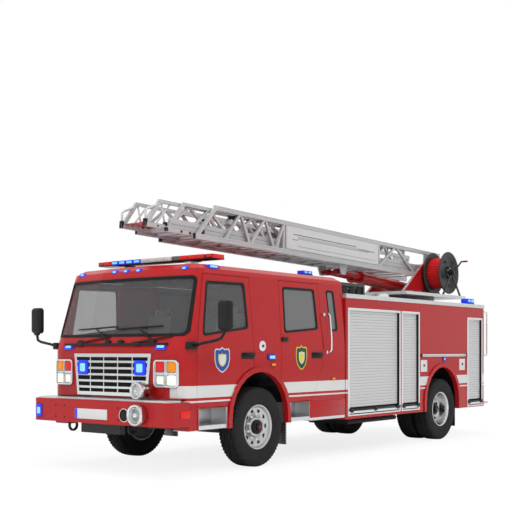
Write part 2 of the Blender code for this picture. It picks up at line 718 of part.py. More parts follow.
def make_axles(vehicle):
    spring_y = (RAIL_INNER_Y + RAIL_OUTER_Y) / 2
    eye_half = KINGPIN_EYE_HEIGHT / 2
    drop = 0.07
    beam_outline = [
        (-KINGPIN_Y, AXLE_Z - 0.035), (-KINGPIN_Y + 0.18, AXLE_Z - drop - 0.04), (KINGPIN_Y - 0.18, AXLE_Z - drop - 0.04),
        (KINGPIN_Y, AXLE_Z - 0.035), (KINGPIN_Y, AXLE_Z + 0.035), (KINGPIN_Y - 0.18, AXLE_Z + 0.02),
        (-KINGPIN_Y + 0.18, AXLE_Z + 0.02), (-KINGPIN_Y, AXLE_Z + 0.035),
    ]
    front = plate_x(beam_outline, (-0.045, 0.045))
    for sign in (1, -1):
        eye = rod((0, sign * KINGPIN_Y, AXLE_Z - eye_half), (0, sign * KINGPIN_Y, AXLE_Z + eye_half), KINGPIN_RADIUS, 12)
        fuse(front, eye, leaf_spring(0, sign * spring_y))
    vehicle.piece("front_axle", front, "cast_iron")
    rear = rod((REAR_AXLE_X, -REAR_HUB_FACE_Y, AXLE_Z), (REAR_AXLE_X, REAR_HUB_FACE_Y, AXLE_Z), 0.075, 10)
    housing = turned([(0.0, -0.17), (0.12, -0.17), (0.20, -0.08), (0.20, 0.08), (0.12, 0.17), (0.0, 0.17)], 14,
                     (REAR_AXLE_X, 0, AXLE_Z))
    fuse(rear, housing, leaf_spring(REAR_AXLE_X, spring_y), leaf_spring(REAR_AXLE_X, -spring_y))
    vehicle.piece("rear_axle", rear, "cast_iron", smooth_angle=35)
    for side, sign in (("left", 1), ("right", -1)):
        lugs = []
        for up in (-1, 1):
            inner = AXLE_Z + up * (eye_half + FIT)
            lugs.append(rod((0, KINGPIN_Y, inner), (0, KINGPIN_Y, inner + up * KNUCKLE_LUG_HEIGHT), KINGPIN_RADIUS, 12))
        reach = eye_half + KNUCKLE_LUG_HEIGHT
        plate = box((-0.045, 0.045), (KINGPIN_Y + KINGPIN_RADIUS + 2 * RUNNING, KINGPIN_Y + KINGPIN_RADIUS + 0.03),
                    (AXLE_Z - reach, AXLE_Z + reach))
        arms = [box((-0.04, 0.04), (KINGPIN_Y, KINGPIN_Y + KINGPIN_RADIUS + 0.01),
                    sorted((AXLE_Z + up * (eye_half + RUNNING), AXLE_Z + up * (reach - MM)))) for up in (-1, 1)]
        flange = rod((0, KINGPIN_Y + KINGPIN_RADIUS + 0.01, AXLE_Z), (0, HUB_FACE_Y, AXLE_Z), HUB_RADIUS * 0.8, 12)
        steering_arm = box((-0.20, -0.03), (KINGPIN_Y - 0.02, KINGPIN_Y + 0.02),
                           (AXLE_Z - reach + 0.01, AXLE_Z - reach + 0.035))
        knuckle = fuse(plate, *arms, *lugs, flange, steering_arm)
        if sign < 0:
            left, knuckle = knuckle, mirrored(knuckle)
            bpy.data.objects.remove(left, do_unlink=True)
        vehicle.piece(f"knuckle_{side}", knuckle, "cast_iron", f"steer_{side}")


def make_chassis(vehicle):
    """Two rails and their crossmembers, with the tank and battery box that hang on them, and the rear mud flaps."""
    frame = box(RAIL_X, (RAIL_INNER_Y, RAIL_OUTER_Y), RAIL_Z)
    fuse(frame, box(RAIL_X, (-RAIL_OUTER_Y, -RAIL_INNER_Y), RAIL_Z))
    for x in CROSSMEMBER_PLACES:
        fuse(frame, box((x - CROSSMEMBER_WIDTH / 2, x + CROSSMEMBER_WIDTH / 2), (-RAIL_OUTER_Y + 0.01, RAIL_OUTER_Y - 0.01),
                        CROSSMEMBER_Z))
    for sign in (1, -1):
        inner = RAIL_OUTER_Y - 0.02
        tank = plate_x(rounded((inner, TANK_Z[0]), (TANK_OUTER_Y, TANK_Z[1]), 0.03), sorted(TANK_X))
        neck = box(sorted((TANK_X[0] - 0.2, TANK_X[1] + 0.2)), (RAIL_OUTER_Y - 0.03, RAIL_OUTER_Y + 0.03),
                   (TANK_Z[0] + 0.02, RAIL_Z[0] + 0.05))
        flap_bar = rod((REAR_MUDFLAP_X, RAIL_OUTER_Y - 0.02, RAIL_Z[0] + 0.08),
                       (REAR_MUDFLAP_X, MUDFLAP_OUTER_Y - 0.02, RAIL_Z[0] + 0.08), 0.016, 6)
        flap = box((REAR_MUDFLAP_X - MUDFLAP_THICKNESS / 2, REAR_MUDFLAP_X + MUDFLAP_THICKNESS / 2),
                   (MUDFLAP_OUTER_Y - MUDFLAP_WIDTH, MUDFLAP_OUTER_Y), (MUDFLAP_BOTTOM_Z, RAIL_Z[0] + 0.09))
        for shape in (tank, neck, flap_bar, flap):
            if sign < 0:
                left, shape = shape, mirrored(shape)
                bpy.data.objects.remove(left, do_unlink=True)
            fuse(frame, shape)
    vehicle.piece("chassis_frame", frame, "chassis_black")


ENGINE_X = (-0.34, 0.88)
ENGINE_HALF_WIDTH = 0.33
ENGINE_Z = (0.66, 1.36)
GEARBOX_X = (-1.05, -0.34)
SHAFT_RADIUS = 0.045


def make_drivetrain(vehicle):
    """The engine as one plain block, with its gearbox and the shaft that shows from below."""
    block = box(ENGINE_X, (-ENGINE_HALF_WIDTH, ENGINE_HALF_WIDTH), ENGINE_Z)
    gearbox = plate_x(rounded((-0.22, 0.56), (0.22, RAIL_Z[1] - 0.02), 0.06, 2), GEARBOX_X)
    feet = box((0.5, 0.62), (-RAIL_INNER_Y + FIT, RAIL_INNER_Y - FIT), (RAIL_Z[0] + 0.04, RAIL_Z[1] - 0.06))
    shaft = rod((GEARBOX_X[0] + 0.02, 0, 0.66), (REAR_AXLE_X + 0.20 + 0.012, 0, AXLE_Z + 0.02), SHAFT_RADIUS, 8)
    vehicle.piece("drivetrain", fuse(block, gearbox, feet, shaft), "cast_iron")


# Body with its lockers
BODY_BOTTOM_Z = 0.52
DECK_TOP_Z = 2.415
DECK_PROUD = 0.012
DECK_EDGE = 0.03
CHANNEL_HALF_WIDTH = 0.47
CHANNEL_TOP_Z = RAIL_Z[1] + FIT
SHUTTER_RECESS = 0.055
SHUTTER_PROUD = 0.008
SHUTTER_FRAME = 0.04
SLAT_PITCH = 0.094
SLAT_DEPTH = 0.010
SLAT_BACK = 0.018
BOTTOM_BAR_HEIGHT = 0.105
# Locker shutters on each side: front, rear, bottom and top
SHUTTER_FRONT_BANK = ((-2.19, -3.70), (-3.79, -4.33))
SHUTTER_REAR_BANK = ((-6.20, -6.75),)
FRONT_BANK_Z = (0.605, 2.17)
REAR_BANK_Z = (0.575, 2.13)
REAR_SHUTTER_HALF = 0.62
REAR_SHUTTER_Z = (0.66, 2.05)
PANEL_SEAMS = (-4.39, -6.126)
RAIL_STRIP_Z = (1.456, 1.501)
RAIL_STRIP_X = (-4.41, -6.11)
RAIL_STRIP_PROUD = 0.012
STEP_X = (BODY_REAR_X - FIT, -7.13)
STEP_Z = (0.555, 0.595)
STEP_HALF_WIDTH = 1.20
SIDE_GRAB_X = -6.94


def shutter_curtain(across, heights, place, facing):
    """A roller curtain: one wavy profile of slats over a bottom bar, across a locker's opening.

    The profile is drawn outwards from the curtain's plane; facing is "side" or "rear".
    """
    low, high = heights
    count = max(2, round((high - low - BOTTOM_BAR_HEIGHT) / SLAT_PITCH))
    pitch = (high - low - BOTTOM_BAR_HEIGHT) / count
    front = [(0.0, low), (SLAT_DEPTH + 0.012, low), (SLAT_DEPTH + 0.012, low + BOTTOM_BAR_HEIGHT - 0.01)]
    for i in range(count):
        base = low + BOTTOM_BAR_HEIGHT + i * pitch
        front += [(0.002, base), (SLAT_DEPTH, base + pitch * 0.25), (SLAT_DEPTH, base + pitch * 0.75)]
    outline = front + [(0.002, high), (-SLAT_BACK, high), (-SLAT_BACK, low)]
    if facing == "side":
        return loft([[(x, place + out, z) for out, z in outline] for x in across], "curtain")
    return loft([[(place - out, y, z) for out, z in outline] for y in across], "curtain")


def shutter_bank(openings, heights):
    """Shutters side by side in one frame."""
    low, high = heights
    front, rear = openings[0][0], openings[-1][1]
    face = HALF_WIDTH + SHUTTER_PROUD
    back = HALF_WIDTH - SHUTTER_RECESS + FIT
    frame = box((rear - SHUTTER_FRAME, front + SHUTTER_FRAME), (back, face), (low - SHUTTER_FRAME, high + SHUTTER_FRAME))
    for start, end in openings:
        cut(frame, box((end, start), (back - OVERRUN, face + OVERRUN), heights))
    curtain_y = HALF_WIDTH - SHUTTER_RECESS + FIT + SLAT_BACK + MM
    for start, end in openings:
        fuse(frame, shutter_curtain((start + MM, end - MM), (low - MM, high + MM), curtain_y, "side"))
    return frame


def make_shutters(vehicle):
    banks = (("front", SHUTTER_FRONT_BANK, FRONT_BANK_Z), ("rear", SHUTTER_REAR_BANK, REAR_BANK_Z))
    for name, openings, heights in banks:
        left = shutter_bank(openings, heights)
        right = mirrored(left)
        vehicle.piece(f"shutters_left_{name}", left, "shutter_aluminium")
        vehicle.piece(f"shutters_right_{name}", right, "shutter_aluminium")
    low, high = REAR_SHUTTER_Z
    back, face = BODY_REAR_X + SHUTTER_RECESS - FIT, BODY_REAR_X - SHUTTER_PROUD
    half = REAR_SHUTTER_HALF
    frame = box((face, back), (-half - SHUTTER_FRAME, half + SHUTTER_FRAME), (low - SHUTTER_FRAME, high + SHUTTER_FRAME))
    cut(frame, box((face - OVERRUN, back + OVERRUN), (-half, half), REAR_SHUTTER_Z))
    curtain_x = back - SLAT_BACK - MM
    fuse(frame, shutter_curtain((-half - MM, half + MM), (low - MM, high + MM), curtain_x, "rear"))
    vehicle.piece("shutter_rear", frame, "shutter_aluminium")


def make_body(vehicle):
    """The locker body, solid behind its shutters, with its wheel arches, seams and the strip over the arch."""
    body = box((BODY_REAR_X, BODY_FRONT_X), (-HALF_WIDTH, HALF_WIDTH), (BODY_BOTTOM_Z, BODY_TOP_Z))
    below = BODY_BOTTOM_Z - OVERRUN
    cut(body, box((BODY_REAR_X - OVERRUN, BODY_FRONT_X + OVERRUN), (-CHANNEL_HALF_WIDTH, CHANNEL_HALF_WIDTH),
                  (below, CHANNEL_TOP_Z)))
    cut(body, *both_sides(lambda: moved(plate_y(
        arch_outline(WELL_RADIUS, below), (CHANNEL_HALF_WIDTH - OVERRUN, HALF_WIDTH - FLARE_DEPTH)), (REAR_AXLE_X, 0, 0))))
    fuse(body, *both_sides(lambda: moved(plate_y(
        arch_outline(ARCH_FLARE_RADIUS, BODY_BOTTOM_Z),
        (HALF_WIDTH - FLARE_DEPTH - FIT, HALF_WIDTH + FLARE_PROUD)), (REAR_AXLE_X, 0, 0))))
    cut(body, *both_sides(lambda: moved(plate_y(
        arch_outline(ARCH_OPEN_RADIUS, below),
        (HALF_WIDTH - FLARE_DEPTH - OVERRUN, HALF_WIDTH + OVERRUN)), (REAR_AXLE_X, 0, 0))))
    for openings, (low, high) in ((SHUTTER_FRONT_BANK, FRONT_BANK_Z), (SHUTTER_REAR_BANK, REAR_BANK_Z)):
        margin = SHUTTER_FRAME + FIT
        cut(body, *both_sides(lambda: box(
            (openings[-1][1] - margin, openings[0][0] + margin), (HALF_WIDTH - SHUTTER_RECESS, HALF_WIDTH + OVERRUN),
            (low - margin, high + margin))))
    margin = SHUTTER_FRAME + FIT
    cut(body, box((BODY_REAR_X - OVERRUN, BODY_REAR_X + SHUTTER_RECESS),
                  (-REAR_SHUTTER_HALF - margin, REAR_SHUTTER_HALF + margin),
                  (REAR_SHUTTER_Z[0] - margin, REAR_SHUTTER_Z[1] + margin)))
    for x in PANEL_SEAMS:
        cut(body, *both_sides(lambda: box((x - SEAM / 2, x + SEAM / 2), (HALF_WIDTH - 2 * SEAM, HALF_WIDTH + OVERRUN),
                                          (ARCH_CENTRE_Z + 0.3, BODY_TOP_Z + OVERRUN))))
    fuse(body, *both_sides(lambda: box(sorted(RAIL_STRIP_X), (HALF_WIDTH - 0.01, HALF_WIDTH + RAIL_STRIP_PROUD),
                                       RAIL_STRIP_Z)))
    vehicle.piece("body_shell", body, "red_paint")


SLEW_X = -5.65
RING_RADIUS = 0.75
RING_TOP_Z = 2.545
RACK_X = (-2.20, -3.05)
RACK_HALF_WIDTH = 0.95
RACK_TOP_Z = 2.62
RACK_TUBE = 0.05


def make_deck(vehicle):
    """The tread-plate deck on the body, with the fixed slew ring and the low rack behind the cab."""
    deck = box((BODY_REAR_X - DECK_PROUD, BODY_FRONT_X), (-HALF_WIDTH - DECK_PROUD, HALF_WIDTH + DECK_PROUD),
               (BODY_TOP_Z + FIT, DECK_TOP_Z))
    ring = turned([(0.0, DECK_TOP_Z - 0.01), (RING_RADIUS, DECK_TOP_Z - 0.01), (RING_RADIUS, RING_TOP_Z),
                   (0.0, RING_TOP_Z)], 28, (SLEW_X, 0, 0), "Z")
    fuse(deck, ring)
    for sign in (1, -1):
        y = sign * RACK_HALF_WIDTH
        fuse(deck, box(sorted(RACK_X), (y - RACK_TUBE / 2, y + RACK_TUBE / 2), (RACK_TOP_Z - RACK_TUBE, RACK_TOP_Z)))
        for x in RACK_X:
            fuse(deck, box((x - RACK_TUBE / 2, x + RACK_TUBE / 2), (y - RACK_TUBE * 0.45, y + RACK_TUBE * 0.45),
                           (DECK_TOP_Z - 0.01, RACK_TOP_Z - MM)))
    for x in RACK_X:
        fuse(deck, box((x - RACK_TUBE * 0.4, x + RACK_TUBE * 0.4), (-RACK_HALF_WIDTH, RACK_HALF_WIDTH),
                       (RACK_TOP_Z - RACK_TUBE + MM, RACK_TOP_Z - 2 * MM)))
    vehicle.piece("body_deck", deck, "tread_plate")


def make_rear_step(vehicle):
    step = box(sorted(STEP_X), (-STEP_HALF_WIDTH, STEP_HALF_WIDTH), STEP_Z)
    for sign in (1, -1):
        y = sign * (RAIL_INNER_Y + RAIL_OUTER_Y) / 2
        bracket = [
            (RAIL_X[0] + 0.20, RAIL_Z[0] - 0.04), (RAIL_X[0] + 0.20, RAIL_Z[0] - FIT), (RAIL_X[0] + 0.02, RAIL_Z[0] - FIT),
            (RAIL_X[0] + 0.005, RAIL_Z[0] - 0.05),
            (BODY_REAR_X, STEP_Z[1] - MM), (STEP_X[1] + 0.06, STEP_Z[1] - MM), (STEP_X[1] + 0.06, STEP_Z[0] - 0.01),
            (RAIL_X[0], STEP_Z[0] - 0.01),
        ]
        fuse(step, plate_y(bracket, (y - 0.02, y + 0.02)))
    vehicle.piece("rear_step", step, "tread_plate")


# Turntable, turret and ladder
DECK_PLATE_X = (-4.60, -6.88)
DECK_PLATE_HALF = 0.86
DECK_PLATE_Z = (RING_TOP_Z + FIT, 2.60)
TURRET_INNER_Y = 0.365
TURRET_PLATE = 0.03
PIVOT = (-6.35, 3.17)
PIVOT_BOSS_RADIUS = 0.12
PIVOT_PIN_RADIUS = 0.05
REST_SLOPE = 1.4
LADDER_DATUM = (-6.50, 3.02)

# Each section: half width outside, chord width, along the ladder from its datum, heights over the datum line
BASE = {"half": 0.355, "chord": 0.048, "low": -0.09, "high": 0.425}
MID = {"half": 0.298, "chord": 0.046, "low": -0.048, "high": 0.385}
FLY = {"half": 0.243, "chord": 0.044, "low": -0.010, "high": 0.375}
BASE_U = {"low_rear": -0.20, "low_front": 6.79, "high_rear": -0.30, "high_front": 6.38}
MID_U = {"low_rear": 0.95, "low_front": 7.31, "high_rear": 0.95, "high_front": 6.98}
FLY_U = {"low_rear": 1.45, "low_front": 7.66, "high_rear": 1.45, "high_front": 7.39}
BASE_LOW_CHORD = 0.080
BASE_HIGH_CHORD = 0.070
INNER_LOW_CHORD = 0.055
INNER_HIGH_CHORD = 0.045
RUNG_RADIUS = 0.014
RUNG_PITCH = 0.45
SIDE_PANEL_U = (1.99, 4.68)
SIDE_PANEL_V = (0.008, 0.350)
SIDE_PANEL_THICKNESS = 0.006

LIFT_Y = 0.095
LIFT_FOOT = (-6.00, 2.755)
LIFT_HEAD = (-3.60, 2.900)
LIFT_LUG_Y = (0.205, 0.227)
LIFT_CROSS_THICKNESS = 0.034
BARREL_RADIUS = 0.085
ROD_RADIUS = 0.045
LIFT_EYE_RADIUS = 0.055
LIFT_PIN_RADIUS = 0.032
BARREL_SHARE = 0.70


def ladder_point(u, v, y=0.0):
    """A place along the ladder and over its datum line, as the ladder lies at rest."""
    slope = math.radians(REST_SLOPE)
    x = LADDER_DATUM[0] + u * math.cos(slope) - v * math.sin(slope)
    z = LADDER_DATUM[1] + u * math.sin(slope) + v * math.cos(slope)
    return x, y, z


def ladder_beam(y, start, end, width, height):
    return beam(ladder_point(*start, y), ladder_point(*end, y), width, height)


def truss_side(section, along, low_chord, high_chord, braces, plates, sign):
    """One side of a ladder section: two chords, a slanted front post, plates and braces between them."""
    y = sign * (section["half"] - section["chord"] / 2)
    low = section["low"] + low_chord / 2
    high = section["high"] - high_chord / 2
    width = section["chord"]
    side = ladder_beam(y, (along["low_rear"], low), (along["low_front"], low), width, low_chord)
    top = ladder_beam(y, (along["high_rear"], high), (along["high_front"], high), width, high_chord)
    front = ladder_beam(y, (along["low_front"] - 0.04, low), (along["high_front"] - 0.02, high), width * 0.9, 0.05)
    rear = ladder_beam(y, (along["low_rear"] + 0.03, low), (along["high_rear"] + 0.03, high), width * 0.9, 0.05)
    fuse(side, front, rear, top)
    for outline, thickness in plates:
        places = [ladder_point(u, v)[::2] for u, v in outline]
        fuse(side, plate_y(places, (y - thickness / 2, y + thickness / 2)))
    for i, (start, end) in enumerate(braces):
        thinner = 0.80 - 0.06 * (i % 2)
        fuse(side, ladder_beam(y, (start, low), (end, high), width * thinner, 0.04))
    return side


def rungs(section, first, last, pitch=RUNG_PITCH):
    v = section["low"] + RUNG_RADIUS + 2 * MM
    y = section["half"] - section["chord"] * 0.5
    count = int((last - first) / pitch)
    return [rod(ladder_point(first + i * pitch, v, -y), ladder_point(first + i * pitch, v, y), RUNG_RADIUS, 4)
            for i in range(count + 1)]


def zigzag(start, end, bays):
    """Brace places that run up and down between the chords."""
    step = (end - start) / (2 * bays)
    braces = []
    for i in range(bays):
        foot = start + 2 * i * step
        braces += [(foot, foot + step), (foot + 2 * step, foot + step)]
    return braces


def ladder_section(section, along, low_chord, high_chord, braces, rung_range, plates=()):
    left = truss_side(section, along, low_chord, high_chord, braces, plates, 1)
    right = truss_side(section, along, low_chord, high_chord, braces, plates, -1)
    return fuse(left, *rungs(section, *rung_range), right)


def make_ladder(vehicle):
    vehicle.pivot("slew", (SLEW_X, 0, DECK_PLATE_Z[0]))
    vehicle.pivot("elevation", (PIVOT[0], 0, PIVOT[1]), "slew")
    vehicle.pivot("mid_slide", ladder_point(MID_U["low_rear"], 0), "elevation")
    vehicle.pivot("fly_slide", ladder_point(FLY_U["low_rear"], 0), "mid_slide")

    base_braces = [(6.16, 5.81), (5.58, 5.81), (5.57, 5.23), (4.99, 5.23), (4.95, 4.755), (4.757, 4.757),
                   (1.97, 1.37), (0.66, 1.37)]
    cheek_u = PIVOT[0] - LADDER_DATUM[0]
    inside = (BASE["low"] + 0.03, BASE["high"] - 0.03)
    cheek = [(cheek_u - 1.6 * PIVOT_BOSS_RADIUS, inside[0]), (cheek_u + 1.9 * PIVOT_BOSS_RADIUS, inside[0]),
             (cheek_u + 1.1 * PIVOT_BOSS_RADIUS, inside[1]), (cheek_u - 1.1 * PIVOT_BOSS_RADIUS, inside[1])]
    plates = ((cheek, BASE["chord"] * 0.6),)
    base = ladder_section(BASE, BASE_U, BASE_LOW_CHORD, BASE_HIGH_CHORD, base_braces, (0.70, 6.60), plates)
    for sign in (1, -1):
        y = sign * (BASE["half"] - SIDE_PANEL_THICKNESS)
        low, high = SIDE_PANEL_V
        u0, u1 = SIDE_PANEL_U
        middle = (low + high) / 2
        fuse(base, ladder_beam(y, (u0, middle), (u1, middle), SIDE_PANEL_THICKNESS, high - low + 0.02))
    cross_v = BASE["low"] + LIFT_CROSS_THICKNESS / 2 + 3 * MM
    cross_u = (LIFT_HEAD[0] - LADDER_DATUM[0]) / math.cos(math.radians(REST_SLOPE))
    cross = ladder_beam(0, (cross_u - 0.16, cross_v), (cross_u + 0.16, cross_v), 2 * BASE["half"] - BASE["chord"],
                        LIFT_CROSS_THICKNESS)
    for sign in (1, -1):
        lug = plate_y([(LIFT_HEAD[0] - 0.14, LIFT_HEAD[1] + 0.12), (LIFT_HEAD[0] - 0.06, LIFT_HEAD[1] - 0.05),
                       (LIFT_HEAD[0] + 0.06, LIFT_HEAD[1] - 0.05), (LIFT_HEAD[0] + 0.14, LIFT_HEAD[1] + 0.12)],
                      sorted((sign * LIFT_LUG_Y[0], sign * LIFT_LUG_Y[1])))
        fuse(cross, lug)
    fuse(base, cross)
    pin_y = TURRET_INNER_Y + TURRET_PLATE + 0.012
    fuse(base, rod((PIVOT[0], -pin_y, PIVOT[1]), (PIVOT[0], pin_y, PIVOT[1]), PIVOT_PIN_RADIUS, 16))
    vehicle.piece("ladder_base", base, "ladder_silver", "elevation")

    mid = ladder_section(MID, MID_U, INNER_LOW_CHORD, INNER_HIGH_CHORD, zigzag(1.2, 6.9, 6), (1.10, 7.1))
    vehicle.piece("ladder_mid", mid, "ladder_silver", "mid_slide")

    fly = ladder_section(FLY, FLY_U, INNER_LOW_CHORD, INNER_HIGH_CHORD, zigzag(1.7, 7.25, 6), (1.60, 7.4))
    vehicle.piece("ladder_fly", fly, "ladder_silver", "fly_slide")


def make_lift(vehicle):
    """Two lift cylinders side by side; each pair shares its pins."""
    foot = Vector((LIFT_FOOT[0], 0, LIFT_FOOT[1]))
    head = Vector((LIFT_HEAD[0], 0, LIFT_HEAD[1]))
    along = (head - foot).normalized()
    length = (head - foot).length
    vehicle.pivot("lift_foot", foot, "slew")
    vehicle.pivot("lift_rod", head, "lift_foot")
    pin = Vector((0, LIFT_LUG_Y[1] + 0.01, 0))
    barrels = rod(foot - pin, foot + pin, LIFT_PIN_RADIUS, 12)
    pin = Vector((0, LIFT_LUG_Y[0] - MOVING_GAP, 0))
    rods = rod(head - pin, head + pin, LIFT_PIN_RADIUS, 12)
    end = foot + along * (length * BARREL_SHARE)
    for sign in (1, -1):
        side = Vector((0, sign * LIFT_Y, 0))
        barrel = rod(foot + side - along * 0.05, end + side, BARREL_RADIUS, 12)
        gland = rod(end + side - along * 0.06, end + side, BARREL_RADIUS + 0.012, 12)
        fuse(barrels, barrel, gland)
    for sign in (1, -1):
        side = Vector((0, sign * LIFT_Y, 0))
        cut(barrels, rod(foot + side + along * 0.25, end + side + along * OVERRUN, ROD_RADIUS + 3 * MM, 12))
        fuse(rods, rod(foot + side + along * 0.35, head + side, ROD_RADIUS, 12))
        fuse(rods, rod(head + side * 0.55, head + side * 1.45, LIFT_EYE_RADIUS, 12))
    vehicle.piece("lift_barrels", barrels, "red_paint", "lift_foot", 35)
    vehicle.piece("lift_rods", rods, "chrome", "lift_rod", 35)


REEL_CENTRE = (-6.35, 3.02)
REEL_Y = (0.455, 0.79)
REEL_FLANGE_RADIUS = 0.395
REEL_DRUM_RADIUS = 0.285
REEL_FLANGE = 0.02
REEL_AXLE_RADIUS = 0.035
REEL_FEET_X = (-6.00, -6.70)
REEL_STAND_Y = (0.42, 0.84)
REEL_SEGMENTS = 20
CRANK_REACH = (-0.33, 0.23)


def make_turntable(vehicle):
    """The turning deck with the turret's side plates and the reel's stands."""
    deck = plate_z([(x, sign * DECK_PLATE_HALF) for x, sign in (
        (DECK_PLATE_X[1], -1), (DECK_PLATE_X[0], -1), (DECK_PLATE_X[0], 1), (DECK_PLATE_X[1], 1))], DECK_PLATE_Z)
    base_z = DECK_PLATE_Z[1] - 0.01
    outline = [(-5.25, base_z), (-5.93, 3.10)]
    outline += arc(PIVOT, PIVOT_BOSS_RADIUS + 0.03, 55, 180, 5) + [(-6.50, base_z)]
    for sign in (1, -1):
        inner = sign * TURRET_INNER_Y
        plate = plate_y(outline, sorted((inner, inner + sign * TURRET_PLATE)))
        fuse(deck, plate)
        foot = plate_y([(LIFT_FOOT[0] - 0.14, base_z), (LIFT_FOOT[0] + 0.14, base_z),
                        (LIFT_FOOT[0] + 0.05, LIFT_FOOT[1] + 0.07), (LIFT_FOOT[0] - 0.05, LIFT_FOOT[1] + 0.07)],
                       sorted((sign * LIFT_LUG_Y[0], sign * LIFT_LUG_Y[1])))
        fuse(deck, foot)
    web = box((-6.46, -6.40), (-TURRET_INNER_Y - 0.01, TURRET_INNER_Y + 0.01), (base_z, 2.70))
    fuse(deck, web)
    cut(deck, bore((LIFT_FOOT[0], -0.25, LIFT_FOOT[1]), (LIFT_FOOT[0], 0.25, LIFT_FOOT[1]), LIFT_PIN_RADIUS, 12))
    cut(deck, bore((PIVOT[0], -0.5, PIVOT[1]), (PIVOT[0], 0.5, PIVOT[1]), PIVOT_PIN_RADIUS, 16))
    for y in REEL_STAND_Y:
        low = base_z
        legs = [
            beam((REEL_FEET_X[0], y, low), (REEL_CENTRE[0], y, REEL_CENTRE[1]), 0.018, 0.045, (1, 0, 0)),
            beam((REEL_FEET_X[1], y, low), (REEL_CENTRE[0], y, REEL_CENTRE[1]), 0.0175, 0.045, (1, 0, 0)),
        ]
        fuse(deck, *legs)
        boss = rod((REEL_CENTRE[0], y - 0.012, REEL_CENTRE[1]), (REEL_CENTRE[0], y + 0.012, REEL_CENTRE[1]), 0.06, 12)
        fuse(deck, boss)
        cut(deck, bore((REEL_CENTRE[0], y - 0.05, REEL_CENTRE[1]), (REEL_CENTRE[0], y + 0.05, REEL_CENTRE[1]),
                       REEL_AXLE_RADIUS, 12))
    vehicle.piece("turntable", deck, "red_paint", "slew")


def make_reel(vehicle):
    """A ribbed drum between two flanges on an axle, with its crank arm and handle."""
    low, high = REEL_Y
    x, z = REEL_CENTRE
    vehicle.pivot("reel", (x, (low + high) / 2, z), "slew")
    profile = [(0.0, low), (REEL_FLANGE_RADIUS, low), (REEL_FLANGE_RADIUS, low + REEL_FLANGE)]
    ribs = 4
    width = high - low - 2 * REEL_FLANGE
    for i in range(ribs):
        start = low + REEL_FLANGE + width * i / ribs
        profile += [(REEL_DRUM_RADIUS - 0.018, start + width * 0.02 / ribs),
                    (REEL_DRUM_RADIUS, start + width * 0.3 / ribs), (REEL_DRUM_RADIUS, start + width * 0.7 / ribs)]
    profile += [(REEL_DRUM_RADIUS - 0.018, high - REEL_FLANGE), (REEL_FLANGE_RADIUS, high - REEL_FLANGE),
                (REEL_FLANGE_RADIUS, high), (0.0, high)]
    reel = turned(profile, REEL_SEGMENTS, (x, 0, z))
    axle_end = REEL_STAND_Y[1] + 0.05
    axle = rod((x, REEL_STAND_Y[0] - 0.015, z), (x, axle_end, z), REEL_AXLE_RADIUS, 12)
    handle = (x + CRANK_REACH[0], z + CRANK_REACH[1])
    arm = beam((x, axle_end - 0.014, z), (handle[0], axle_end - 0.014, handle[1]), 0.024, 0.035, (0, 1, 0))
    grip = rod((handle[0], axle_end - 0.02, handle[1]), (handle[0], axle_end + 0.12, handle[1]), 0.018, 6)
    fuse(reel, axle, arm, grip)
    vehicle.piece("reel", reel, "reel_red", "reel", 35)


# Nose, lamps and mirrors
BUMPER_REAR_X = 1.565
BUMPER_WING_REAR_X = 1.415
BUMPER_Z = (0.625, 0.925)
BUMPER_HALF_WIDTH = 1.262
BUMPER_WALL = 0.06
BUMPER_CORNER = 0.07
BUMPER_DECK_TOP_Z = 0.945
SPEAKER_Y = 0.77
SPEAKER_Z = 0.768
SPEAKER_RADIUS = 0.13
SPEAKER_PROUD = 0.118
SIREN_Y = 0.68
SIREN_Z = BUMPER_DECK_TOP_Z + 0.115
SIREN_RADIUS = 0.108
SIREN_X = (1.60, 1.775)
TOW_BOX_HALF = 0.36
GRILLE_TOP_HALF = 0.713
GRILLE_BOTTOM_HALF = 0.650
GRILLE_Z = (0.977, 1.52)
GRILLE_FRAME = 0.045
GRILLE_PROUD = 0.022
GRILLE_BARS = 5
GRILLE_POSTS = 4
HEADLIGHT_Y = (0.755, 1.135)
HEADLIGHT_Z = (1.10, 1.442)
HEADLIGHT_BEZEL = 0.022
LENS_RADIUS = 0.070
LENS_COLUMNS = (0.845, 1.025)
LENS_ROWS = (1.185, 1.357)
LIGHTBAR_X = (0.52, 0.80)
LIGHTBAR_HALF = 1.10
LIGHTBAR_Z = (2.745, 2.812)
LIGHTBAR_FEET_Y = 0.62
MIRROR_FOOT = (1.36, 1.225, 1.62)
MIRROR_ELBOW = (1.366, 1.735, 1.722)
MIRROR_HEAD_X = (1.27, 1.365)
MIRROR_HEAD_Y = (1.645, 1.845)
MIRROR_HEAD_Z = (1.80, 2.165)
MIRROR_TUBE = 0.016

FRONT_REACH = BUMPER_FRONT_X + SPEAKER_PROUD
FRONT_AXLE_X = -(FRONT_REACH + STEP_X[1]) / 2


